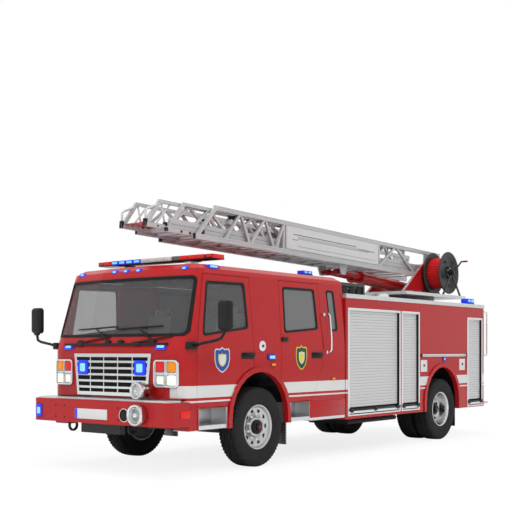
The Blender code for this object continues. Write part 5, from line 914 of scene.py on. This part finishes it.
def handle(piece, x0, x1, z):
    """A pull handle over its dished pocket, with its lock."""
    piece.plate([(x, HALF_WIDTH - 0.001, y) for x, y in rectangle(x0, z - 0.052, x1, z + 0.034, 0.016)], (0, 0.007, 0),
                "black", 0.002)
    grip = ((x0 + 0.012, 1.256), (x0 + 0.025, 1.283), (x1 - 0.07, 1.285), (x1 - 0.05, 1.256))
    piece.tube([(x, y, z + 0.012) for x, y in grip], 0.013, "black", 12, flat=1.1)
    piece.turned([(0.017, 1.255), (0.017, 1.262), (0.009, 1.266), (0.0, 1.266)], "black",
                 (x1 - 0.028, 0, z - 0.004), 20)


def front_door_trim(piece):
    shield(piece, 0.785, 1.274, 1.604, 0.30, ("white", "shield_blue", "shield_gold", "white"))
    handle(piece, 0.125, 0.40, 1.500)


def rear_door_trim(piece):
    shield(piece, -0.95, 1.283, 1.634, 0.26, ("shield_gold", "shield_green", "white", "shield_gold"))
    handle(piece, -1.47, -1.20, 1.500)
    piece.box((-0.62, 1.244, 1.685), (-0.49, 1.268, 1.745), "black", 0.006)
    piece.box((-0.56, 1.244, 1.700), (-0.478, 1.262, 1.730), "black", 0.005)


def cab_side_trim(piece):
    piece.tube([(-1.555, 1.252, 2.085), (-1.555, 1.300, 2.095), (-1.565, 1.318, 2.07), (-1.605, 1.320, 1.75),
                (-1.605, 1.318, 1.57), (-1.600, 1.300, 1.545), (-1.600, 1.250, 1.535)], 0.014, "chrome", 16)
    for x, z, y in ((-1.555, 2.087, 1.223), (-1.600, 1.537, 1.249)):
        piece.turned([(0.028, y), (0.028, y + 0.008), (0.018, y + 0.014), (0.014, y + 0.022)], "chrome", (x, 0, z), 20)
    piece.turned([(0.072, 1.249), (0.072, 1.255), (0.064, 1.261), (0.0, 1.262)], "bright", (-0.05, 0, 1.62), 40)
    piece.stud(0.020, 1.260, 1.266, 0.001, "black", (-0.05, 0, 1.62), 20)
    for x0, x1, z0, z1, name in ((-0.33, -0.16, 1.43, 1.51, "lamp_blue"), (-0.33, -0.23, 1.345, 1.39, "lamp_amber"),
                                 (-1.79, -1.70, 1.124, 1.168, "lamp_amber")):
        piece.plate([(x, 1.249, z) for x, z in rectangle(x0, z0, x1, z1, 0.012)], (0, 0.008, 0), "black", 0.002)
        piece.box((x0 + 0.008, 1.254, z0 + 0.007), (x1 - 0.008, 1.272, z1 - 0.007), name, 0.008)
    piece.box((-0.30, 1.262, 1.45), (-0.19, 1.274, 1.49), "lamp_blue_core", 0.004)


def skirt(piece):
    """The painted panel below the cab between the rear step and the lockers, and the step wells' linings."""
    panel = ((-2.066, 0.596), (-1.152, 0.596), (-1.152, 0.8345), (-2.066, 0.8345))
    piece.plate([(x, HALF_WIDTH - 0.032, z) for x, z in panel], (0, 0.030, 0), "red_plain", 0.003)
    for x0, x1 in ((0.702, 1.228), (-1.148, -0.702)):
        piece.box((x0, 0.9805, 0.6205), (x1, 0.986, 0.834), "bright", 0.001)
        piece.box((x0 + 0.01, 0.99, 0.6200), (x1 - 0.01, 1.236, 0.6235), "tread", 0.001)


def mirror(piece):
    """A rounded mirror head on its cranked arm, with a main and a wide-angle glass looking back."""
    outline = rectangle(1.6455, 1.8005, 1.8445, 2.1645, 0.045)
    rings = ((1.2755, 0.006), (1.285, 0.0), (1.325, 0.0), (1.350, 0.012), (1.361, 0.030), (1.3645, 0.055))
    piece.loft([[(x, y, z) for y, z in moved_in(outline, by)] for x, by in rings], "black", True)
    for low, high in ((1.925, 2.145), (1.820, 1.908)):
        piece.plate([(1.2745, y, z) for y, z in rectangle(1.665, low, 1.825, high, 0.02)], (0.002, 0, 0), "mirror_face")
    piece.box((1.275, 1.195, 1.575), (1.425, 1.285, 1.668), "black", 0.012)
    piece.tube([(1.355, 1.270, 1.615), (1.355, 1.40, 1.645), (1.350, 1.62, 1.680), (1.340, 1.70, 1.705),
                (1.325, 1.735, 1.76), (1.322, 1.745, 1.83)], 0.019, "black", 14)
    piece.box((1.300, 1.700, 1.775), (1.345, 1.790, 1.815), "black_gloss", 0.010)


both_sides(front_door_trim, "front_door_trim", "door_front_SIDE")
both_sides(rear_door_trim, "rear_door_trim", "door_rear_SIDE")
both_sides(cab_side_trim, "cab_side_trim", "vehicle", "chrome")
both_sides(skirt, "cab_skirt", "vehicle", "red_paint")
both_sides(mirror, "mirror_head", "vehicle", "black_plastic", "mirror_SIDE")


# Roller shutters of the lockers
SLAT = 0.045
FRAME = 0.040


def shutter(piece, place, a0, a1, low, high):
    """A shutter in its opening: rails, backing, slats, rubber seal on one side and the bottom bar with its latches.

    place(along, out, z) gives the point in space.
    """
    def slab(a, b, out, z, name, bevel=0.003):
        ends = list(zip(place(a, out[0], z[0]), place(b, out[1], z[1])))
        piece.box([min(p) for p in ends], [max(p) for p in ends], name, bevel)

    inner0, inner1, top = a0 + FRAME, a1 - FRAME, high - FRAME
    slab(a0, inner0, (-0.054, 0.008), (low, high), "bright")
    slab(inner1, a1, (-0.054, 0.008), (low, high), "bright")
    slab(a0, a1, (-0.054, 0.0082), (top, high), "bright")
    slab(a0, a1, (-0.054, 0.0078), (low, low + 0.022), "bright")
    slab(inner0, inner1, (-0.0545, -0.040), (low + 0.02, top), "black")
    slab(inner0, inner0 + 0.020, (-0.050, 0.0065), (low + 0.02, top), "rubber")
    slab(a0 + 0.01, a1 - 0.01, (-0.036, 0.0095), (low + 0.075, low + 0.105), "black_gloss")
    slab(a0 + 0.012, a1 - 0.012, (-0.036, 0.0145), (low + 0.038, low + 0.072), "bright")
    slab(a0 + 0.01, a1 - 0.01, (-0.036, 0.0060), (low + 0.020, low + 0.036), "black_gloss")
    first = low + 0.13
    count = round((top - first) / SLAT)
    pitch = (top - first) / count
    for k in range(count):
        z = first + k * pitch
        section = ((-0.032, z + 0.0005), (-0.028, z + 0.0025), (-0.0268, z + pitch * 0.45),
                   (-0.028, z + pitch - 0.0035), (-0.032, z + pitch - 0.0015))
        piece.loft([[place(a, out, h) for out, h in section] for a in (inner0 + 0.001, inner1 - 0.001)], "shutter")
    for share in (0.06, 0.5, 0.94) if a1 - a0 > 0.9 else (0.10, 0.90):
        a = a0 + (a1 - a0) * share
        slab(a - 0.045, a + 0.045, (0.0, 0.021), (low + 0.050, low + 0.112), "black", 0.006)


def on_flank(along, out, z):
    return (along, HALF_WIDTH + out, z)


def front_shutters(piece):
    shutter(piece, on_flank, -3.728, -2.150, 0.565, 2.21)
    shutter(piece, on_flank, -4.37, -3.762, 0.565, 2.21)
    piece.box((-3.7615, HALF_WIDTH - 0.054, 0.5655), (-3.7285, HALF_WIDTH, 2.2095), "red_plain", 0.002)


both_sides(front_shutters, "shutter_slats_front", "vehicle", "shutter_aluminium", "shutters_SIDE_front")
both_sides(lambda piece: shutter(piece, on_flank, -6.79, -6.16, 0.535, 2.17), "shutter_slats_rear", "vehicle",
           "shutter_aluminium", "shutters_SIDE_rear")
at_back = Piece("shutter_slats_back")
shutter(at_back, lambda along, out, z: (BACK_X - out, along, z), -0.66, 0.66, 0.62, 2.09)
at_back.done("vehicle", "shutter_aluminium", ["shutter_rear"])


# Body fittings
def body_side_trim(piece):
    """The rail, boxes and lamp over the rear wheel, the two grab rails of the corner and the rear lamps."""
    piece.box((-6.075, 1.2600, 1.458), (-4.445, 1.2695, 1.499), "bright", 0.003)
    piece.box((-6.065, 1.2690, 1.474), (-4.455, 1.2715, 1.480), "black", 0.001)
    for x0, x1 in ((-6.112, -6.074), (-4.446, -4.408)):
        piece.box((x0, 1.2500, 1.453), (x1, 1.2720, 1.504), "black", 0.005)
    for x0, x1, z in ((-4.63, -4.41, 1.20), (-6.06, -5.84, 1.21)):
        x = (x0 + x1) / 2
        piece.box((x0, 1.2490, z), (x1, 1.2545, z + 0.20), "bright", 0.004)
        piece.box((x0 + 0.008, 1.2540, z + 0.008), (x1 - 0.008, 1.2560, z + 0.192), "white", 0.002)
        piece.box((x - 0.022, 1.2550, z + 0.085), (x + 0.022, 1.2625, z + 0.130), "black", 0.004)
    at = (-5.246, 0, 1.415)
    piece.ring([(0.050, 1.249), (0.050, 1.257), (0.042, 1.262), (0.040, 1.258)], "black", at, 28)
    piece.turned([(0.042, 1.252), (0.042, 1.262), (0.030, 1.269), (0.0, 1.271)], "lamp_blue", at, 28)
    piece.stud(0.020, 1.262, 1.2705, 0.0017, "lamp_blue_core", at, 20)
    piece.tube([(-6.845, 1.228, 2.30), (-7.005, 1.230, 2.29), (-7.030, 1.230, 2.26), (-7.030, 1.230, 1.50),
                (-7.005, 1.230, 1.47), (-6.845, 1.228, 1.46)], 0.016, "chrome", 14)
    piece.tube([(x, 1.205, z) for x, z in ((-6.845, 2.325), (-6.915, 2.335), (-6.938, 2.30), (-6.940, 1.90),
                                           (-6.938, 1.50), (-6.915, 1.465), (-6.845, 1.455))], 0.015, "chrome", 16)
    for z in (2.322, 1.456):
        piece.turned([(0.030, BACK_FACE), (0.030, -6.860), (0.020, -6.866), (0.015, -6.874)], "chrome",
                     (0, 1.205, z), 20, "x")
    piece.box((-6.905, 1.165, 0.845), (BACK_FACE, 1.225, 0.895), "black", 0.008)
    for name, z in (("lamp_red", 1.28), ("lamp_amber", 1.155), ("lamp_white", 1.03)):
        piece.box((-6.868, 0.985, z), (BACK_FACE, 1.105, z + 0.115), "chrome", 0.004)
        piece.box((-6.874, 0.997, z + 0.012), (-6.866, 1.093, z + 0.103), name, 0.006)
    piece.box((-6.868, 0.97, 2.18), (BACK_FACE, 1.13, 2.26), "black", 0.005)
    piece.box((-6.878, 0.98, 2.19), (-6.866, 1.12, 2.25), "lamp_blue", 0.006)


def deck_pieces():
    piece, x, y = Piece("deck_fittings"), -4.18, 0.62
    piece.turned([(0.21, DECK_TOP), (0.21, 2.445), (0.19, 2.458), (0.13, 2.475), (0.125, 2.51), (0.105, 2.53),
                  (0.05, 2.540), (0.0, 2.541)], "bright", (x, y, 0), 48, "z")
    for a, b in around(10, 0.165):
        piece.stud(0.011, 2.458, 2.472, 0.002, "chrome", (x + a, y + b, 0), 10, "z")
    piece.box((-4.47, 0.78, DECK_TOP), (-4.37, 0.86, 2.440), "lamp_red", 0.008)
    piece.box((-4.50, 0.76, DECK_Z), (-4.34, 0.88, 2.421), "black", 0.002)
    for low, high in ((-1.247, -1.215), (1.215, 1.247)):
        piece.box((-6.86, low, DECK_TOP), (-2.10, high, 2.4215), "bright", 0.002)
    piece.done("vehicle", "tread_plate")

    rack = Piece("rack_panels")
    for y in (-0.95, 0.95):
        for x in (-2.23, -2.44, -2.65, -2.86):
            rack.box((x - 0.165, y - 0.008, DECK_Z), (x, y + 0.008, 2.572), "black", 0.004)
    for x in (-2.20, -3.05):
        rack.box((x - 0.012, -0.92, DECK_Z), (x + 0.012, 0.92, 2.566), "black", 0.004)
        for y in (-0.6, -0.3, 0.0, 0.3, 0.6):
            rack.box((x - 0.022, y - 0.016, DECK_Z), (x + 0.022, y + 0.016, 2.567), "black_gloss", 0.004)
    rack.done()


both_sides(body_side_trim, "body_side_trim", "vehicle", "chrome")
deck_pieces()


# Ladder, in places along it (u), over its datum line (v) and across it (y)
def on_ladder(u, v, y=0.0):
    return (LADDER_DATUM[0] + u * LADDER_COS - v * LADDER_SIN, y, LADDER_DATUM[1] + u * LADDER_SIN + v * LADDER_COS)


def blocks(piece, *rows):
    for (u0, u1), (v0, v1), (y0, y1), name, bevel in rows:
        outline = [on_ladder(u, v, y0) for u, v in ((u0, v0), (u1, v0), (u1, v1), (u0, v1))]
        piece.plate(outline, (0, y1 - y0, 0), name, bevel)


def ladder_studs(piece, places, radius, low, high, rise, name, sides):
    for u, v in places:
        piece.stud(radius, low, high, rise, name, on_ladder(u, v), sides)


def ladder_pieces():
    base = Piece("ladder_base_fittings")
    face = (0.3518, 0.3535)
    # The ladder_shadow strips are painted shade: dark lines for the shadow inside the panels' grooves and slots.
    blocks(base, ((2.70, 4.52), (0.232, 0.246), face, "ladder_shadow", 0.0008),
           ((2.70, 4.52), (0.246, 0.252), face, "white", 0.0008),
           ((4.40, 4.54), (0.150, 0.161), face, "ladder_shadow", 0.0008),
           ((2.12, 2.62), (0.196, 0.208), face, "ladder_shadow", 0.0008),
           ((2.08, 4.40), (0.060, 0.066), face, "ladder_shadow", 0.0008),
           ((1.94, 1.98), (-0.088, 0.405), (0.340, 0.3548), "ladder_grey", 0.002),
           ((4.68, 4.72), (-0.088, 0.405), (0.340, 0.3548), "ladder_grey", 0.002),
           # painted shade: a grey strip for the shaded recess across the white panel
           ((2.30, 4.40), (0.170, 0.222), (0.3518, 0.3528), "ladder_grey", 0.0004),
           ((0.10, 1.94), (-0.020, 0.145), (0.3025, 0.3060), "ladder_grey", 0.001),
           ((0.12, 1.93), (0.030, 0.036), (0.3058, 0.3066), "ladder_shadow", 0.0003),
           ((0.12, 1.93), (0.092, 0.098), (0.3058, 0.3066), "ladder_shadow", 0.0003),
           ((6.60, 6.64), (-0.004, 0.050), (0.300, 0.350), "black", 0.004),
           ((6.755, 6.792), (-0.088, -0.012), (0.306, 0.3545), "black", 0.004),
           *(((-0.18, 6.30), v, (0.3535, 0.3572), "ladder_grey", 0.001)
             for v in ((-0.080, -0.066), (-0.040, -0.026), (0.368, 0.376), (0.406, 0.414))))
    ladder_studs(base, [(2.06 + k * 0.284, v) for k in range(10) for v in (0.022, 0.328)], 0.008, 0.3515, 0.3535, 0.001,
                 "bright", 8)
    base.mirror()
    base.done("boom_base", "ladder_silver")

    mid = Piece("ladder_mid_fittings")
    # the ladder_shadow strip is a painted shadow line along the board
    blocks(mid, ((7.275, 7.312), (-0.047, 0.008), (0.254, 0.2985), "black", 0.004),
           ((4.60, 7.23), (0.0, 0.125), (0.2935, 0.2982), "ladder_grey", 0.001),
           ((4.60, 7.23), (0.060, 0.066), (0.2980, 0.2998), "ladder_shadow", 0.0005),
           ((5.85, 5.98), (0.292, 0.345), (0.252, 0.3), "black", 0.006))
    ladder_studs(mid, ((6.85, -0.018), (7.02, -0.018)), 0.016, 0.2975, 0.306, 0.002, "black", 14)
    mid.mirror()
    mid.done("boom_mid", "ladder_silver")

    fly, y = Piece("ladder_tip"), 0.221
    for line, radius, sides in ((((7.635, 0.03), (7.635, 0.195), (7.60, 0.225), (7.33, 0.340), (7.28, 0.352),
                                  (6.90, 0.354)), 0.0165, 16), (((7.26, 0.03), (7.34, 0.330)), 0.013, 14),
                                (((7.45, 0.03), (7.16, 0.345)), 0.012, 14)):
        fly.tube([on_ladder(u, v, y) for u, v in line], radius, "ladder_rail", sides)
    blocks(fly, ((7.611, 7.659), (0.030, 0.088), (y - 0.025, y + 0.0225), "black", 0.005),
           ((7.236, 7.284), (0.030, 0.088), (y - 0.025, y + 0.0225), "black", 0.005),
           ((7.622, 7.662), (-0.011, 0.046), (y - 0.0225, y + 0.0225), "black", 0.005),
           ((4.90, 7.23), (0.034, 0.150), (0.2385, 0.2432), "ladder_rail", 0.001),
           ((4.90, 7.23), (0.090, 0.096), (0.2430, 0.2446), "bright", 0.0005))
    ladder_studs(fly, [(u, 0.017) for u in (6.50, 6.78, 7.10, 7.42)], 0.013, 0.2425, 0.249, 0.002, "black", 12)
    fly.mirror()
    blocks(fly, *(((u, u + 0.085), (0.0455, 0.0525), (-0.225, 0.225), "red_plain", 0.002)
                  for u in (7.10, 7.205, 7.31, 7.415, 7.52)))
    fly.done("boom_fly", "ladder_silver")

    turret = Piece("turret_trim")
    for y in (0.365, 0.395):
        turret.tube([(-5.258, y, 2.603), (-5.934, y, 3.100)], 0.007, "bright", 10)
    for x in (-5.62, -5.95, -6.28):
        turret.stud(0.016, 0.3945, 0.402, 0.002, "chrome", (x, 0, 2.66), 12)
    turret.turned([(0.085, 0.394), (0.085, 0.402), (0.070, 0.4065), (0.0, 0.4068)], "black", (-6.35, 0, 3.17), 32)
    turret.mirror()
    turret.done("slew", "red_paint")


ladder_pieces()


# Hose reel
HOSE_RIBS = 54


def hose_reel():
    piece, x, z = Piece("hose_reel"), -6.35, 3.02
    centre = (x, 0, z)
    for low, high in ((0.455, 0.475), (0.770, 0.790)):
        piece.ring([(0.045, low + 0.004), (0.36, low + 0.004), (0.372, low), (0.392, low + 0.002),
                    (0.395, (low + high) / 2), (0.392, high - 0.002), (0.372, high), (0.36, high - 0.004),
                    (0.045, high - 0.004)], "reel_dark", centre, 80)
    drum = [(2 * math.pi * (i + share) / HOSE_RIBS, radius) for i in range(HOSE_RIBS) for share, radius in
            ((0.06, 0.270), (0.28, 0.283), (0.50, 0.285), (0.72, 0.283), (0.94, 0.270))]
    piece.plate([(x + r * math.sin(a), 0.4755, z + r * math.cos(a)) for a, r in drum], (0, 0.294, 0), "red_hose")
    for face, low, high in ((0.455, 0.443, 0.461), (0.790, 0.784, 0.802)):
        piece.ring([(0.11, low), (0.11, high), (0.06, high), (0.06, low)], "black", centre, 36)
        for a, b in around(6, 0.085):
            piece.stud(0.011, low, high + 0.004, 0.001, "chrome", (x + a, 0, z + b), 10)
        for a, b in around(5, 0.235, 0.5):
            piece.ring([(0.034, face - 0.003), (0.034, face + 0.003), (0.026, face + 0.003), (0.026, face - 0.003)],
                       "reel_dark", (x + a, 0, z + b), 20)
    piece.turned([(0.034, 0.405), (0.034, 0.885), (0.026, 0.890), (0.0, 0.890)], "black", centre, 28)
    grip = Vector((x - 0.33, 0, z + 0.23))
    arm = (grip - Vector(centre)).normalized()
    across, out = Vector((-arm.z, 0, arm.x)) * 0.017, Vector((0, 0.864, 0))
    start, end = Vector(centre) + out - arm * 0.05, grip + out + arm * 0.02
    piece.plate([start + across, end + across * 0.7, end - across * 0.7, start - across], (0, 0.024, 0), "black", 0.005)
    piece.turned([(0.011, 0.870), (0.011, 0.90), (0.017, 0.905), (0.019, 0.95), (0.018, 0.995), (0.012, 1.007),
                  (0.0, 1.009)], "red_plain", grip, 24)
    piece.stud(0.048, 0.858, 0.8885, 0.001, "black", centre, 28)
    piece.done("reel", "reel_red", ["reel"])


hose_reel()


# Seats
def pad(piece, at, turn, wide, deep, thick, crown, channels=()):
    """An upholstered pad: crowned, its sides pulled in between the corners, with sewn channels and piping.

    The pad lies on its own plane, deep along X and wide along Y; turn tips it about Y.
    """
    n = 26
    tip = Matrix.Translation(at) @ Matrix.Rotation(math.radians(turn), 4, "Y")
    steps = [math.sin(math.pi / 2 * (2 * i / n - 1)) for i in range(n + 1)]

    def fall(u):
        return max(0.0, 1 - abs(u) ** 5) ** 0.2

    def point(u, v, height=None):
        x, y = deep / 2 * u * (1 - 0.035 * (1 - v * v)), wide / 2 * v * (1 - 0.030 * (1 - u * u))
        if height is None:
            height = thick * fall(u) * fall(v) + crown * (1 - u * u) * (1 - v ** 4)
            for across, c in channels:
                w = v if across == "y" else u
                height -= 0.014 * math.exp(-((w - c) / 0.045) ** 2) * fall(u) * fall(v)
        return tip @ Vector((x, y, height))

    edge = [(i, 0) for i in range(n + 1)] + [(n, j) for j in range(1, n + 1)]
    edge += [(i, n) for i in range(n - 1, -1, -1)] + [(0, j) for j in range(n - 1, 0, -1)]
    corners = [i * (n + 1) + j for i in range(n) for j in range(n)]
    faces = [(k, k + n + 1, k + n + 2, k + 1) for k in corners] + [tuple(i * (n + 1) + j for i, j in edge)]
    piece.add([point(u, v) for u in steps for v in steps], faces, "seat", True)
    piece.tube([point(steps[i] * 0.995, steps[j] * 0.995, thick * 0.55) for i, j in edge], 0.0045, "seat_piping", 8,
               closed=True)


BACK_LEAN = 84
CREW_FOOT_Y = 0.5165


def crew_seat(name, node, y):
    foot = math.copysign(CREW_FOOT_Y, y)
    cushions = Piece(name)
    pad(cushions, (0.165, y, 1.43), 0, 0.49, 0.48, 0.085, 0.025, (("y", -0.55), ("y", 0.55), ("x", -0.2)))
    pad(cushions, (-0.075, y, 1.79), BACK_LEAN, 0.47, 0.56, 0.07, 0.025, (("y", -0.5), ("y", 0.5), ("x", 0.25)))
    pad(cushions, (-0.125, y, 2.085), BACK_LEAN, 0.26, 0.14, 0.06, 0.012)
    cushions.done("vehicle", "seat_fabric", [node])
    under = Piece(name + "_frame")
    under.box((-0.04, y - 0.20, 1.385), (0.38, y + 0.20, 1.428), "black", 0.008)
    under.box((0.0, foot - 0.085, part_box(node)[0][2] + 0.001), (0.34, foot + 0.085, 1.386), "black", 0.010)
    under.plate([(x, y - 0.20, z) for x, z in ((-0.045, 1.42), (-0.075, 1.42), (-0.165, 2.14), (-0.140, 2.14))],
                (0, 0.40, 0), "black", 0.004)
    for at in (y - 0.06, y + 0.06):
        under.tube([(-0.13, at, 1.98), (-0.135, at, 2.08)], 0.006, "bright", 10)
    under.done("vehicle", "black_plastic", [node])


def bench_seat(node):
    cushions = Piece("bench_cushions")
    for y in (-0.765, -0.255, 0.255, 0.765):
        pad(cushions, (-1.68, y, 1.46), 0, 0.50, 0.44, 0.08, 0.022, (("y", -0.5), ("y", 0.5)))
        pad(cushions, (-1.885, y, 1.80), BACK_LEAN, 0.49, 0.54, 0.06, 0.020, (("y", -0.5), ("y", 0.5), ("x", 0.25)))
    cushions.done("vehicle", "seat_fabric", [node])
    base = Piece("bench_base")
    base.box((-1.93, -1.015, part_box(node)[0][2] + 0.001), (-1.47, 1.015, 1.458), "black", 0.010)
    base.plate([(x, -1.0, z) for x, z in ((-1.895, 1.45), (-1.940, 1.45), (-1.946, 2.10), (-1.925, 2.10))], (0, 2.0, 0),
               "black", 0.004)
    base.done("vehicle", "black_plastic", [node])


crew_seat("driver_seat_cushions", "seat_driver", 0.66)
crew_seat("officer_seat_cushions", "seat_officer", -0.66)
bench_seat("seat_rear_bench")


# Looks of the solids, by the starts of their names and else by their slots
BY_START = {
    "turntable": "turntable", "cab_steps": "steps", "body_deck": "deck", "windshield": "front_glass",
    "grille": "chrome", "front_bumper": "bumper", "dashboard": "trim_dark", "rear_step": "tread",
    "lift_barrels": "red_plain", "lift_rods": "red_plain", "wipers": "black", "glass_rear": "rear_glass",
    "glass_": "side_glass", "quarter_glass": "rear_glass", "mirror": "black", "ladder": "ladder", "door": "red",
    "tyre": "tyre", "rim": "wheel", "shutter": "shutter", "knuckle": "iron", "seat": "seat",
}
BY_SLOT = {
    "red_paint": "red", "black_plastic": "black", "glass": "side_glass", "chrome": "chrome", "tread_plate": "tread",
    "ladder_silver": "ladder", "shutter_aluminium": "shutter", "wheel_silver": "wheel", "tyre_rubber": "tyre",
    "cast_iron": "iron", "seat_fabric": "seat", "lamp_red": "lamp_red",
}
for node in frame["nodes"]:
    name = next((v for k, v in BY_START.items() if node.startswith(k)), None)
    for held in bpy.data.objects[node].material_slots:
        base = held.material.name.split(".")[0] if held.material else ""
        held.material = LOOKS[name or BY_SLOT.get(base, "chassis")]


# Floor, light and camera
def floor(size):
    """A pale floor that keeps the object's shadow, and is white to the camera far from it."""
    mesh = bpy.data.meshes.new("floor")
    mesh.from_pydata([(-size, -size, 0), (size, -size, 0), (size, size, 0), (-size, size, 0)], [], [(0, 1, 2, 3)])
    n = look("floor")
    mesh.materials.append(n.finish((0.86, 0.86, 0.86), 0.9))
    x, y, z = n.axes()
    away = n.math("SQRT", x * x + y * y)
    share = n.math("MINIMUM", 0.80 + away * 0.02, 1.0)
    seen = Value(n, n.add("ShaderNodeLightPath").outputs["Is Camera Ray"])
    n.blend(seen * share, n.shader, n.add("ShaderNodeEmission"), n.tree.nodes["Material Output"])
    obj = bpy.data.objects.new("floor", mesh)
    bpy.context.scene.collection.objects.link(obj)


def world(level):
    """An even pale surround: white to the camera, to reflections and through glass, and softer as a light."""
    n = Nodes(bpy.data.worlds.new("studio"))
    bpy.context.scene.world = n.owner
    n.tree.nodes.clear()
    rays = n.add("ShaderNodeLightPath").outputs
    camera_ray, glossy, through = (
        Value(n, rays[name]) for name in ("Is Camera Ray", "Is Glossy Ray", "Is Transmission Ray"))
    soft, bright = n.add("ShaderNodeBackground"), n.add("ShaderNodeBackground")
    for node, strength in ((soft, level), (bright, 1.0)):
        node.inputs["Strength"].default_value, node.inputs["Color"].default_value = strength, (1, 1, 1, 1)
    n.blend(camera_ray | glossy | through, soft, bright, n.add("ShaderNodeOutputWorld"))


def aimed(name, data, at, way):
    obj = bpy.data.objects.new(name, data)
    obj.location, obj.rotation_euler = at, Vector(way).to_track_quat("-Z", "Y").to_euler()
    bpy.context.scene.collection.objects.link(obj)
    return obj


def area_light(name, at, aim, size, power):
    data = bpy.data.lights.new(name, "AREA")
    data.shape, data.size, data.energy = "DISK", size, power
    aimed(name, data, at, Vector(aim) - Vector(at)).visible_glossy = False


def camera():
    data = bpy.data.cameras.new("camera")
    data.lens, data.sensor_width, data.clip_end = 68.51, 36.0, 500
    data.shift_x, data.shift_y = 0.002, 0.1857
    bpy.context.scene.camera = aimed("camera", data, Vector((10.268, 9.282, 1.552)) + AXLE, (-0.7843, -0.6203, 0.0))


floor(150.0)
world(0.50)
area_light("key", (36.0, 52.0, 60.0), (0.0, 0.0, 1.5), 36.0, 32000)
area_light("fill", (68.0, -20.0, 36.0), (1.0, 0.0, 1.5), 32.0, 11200)
area_light("top", (-1.0, 0.0, 64.0), (-1.0, 0.0, 2.0), 40.0, 24000)
camera()

bpy.context.scene.view_settings.view_transform = "Standard"
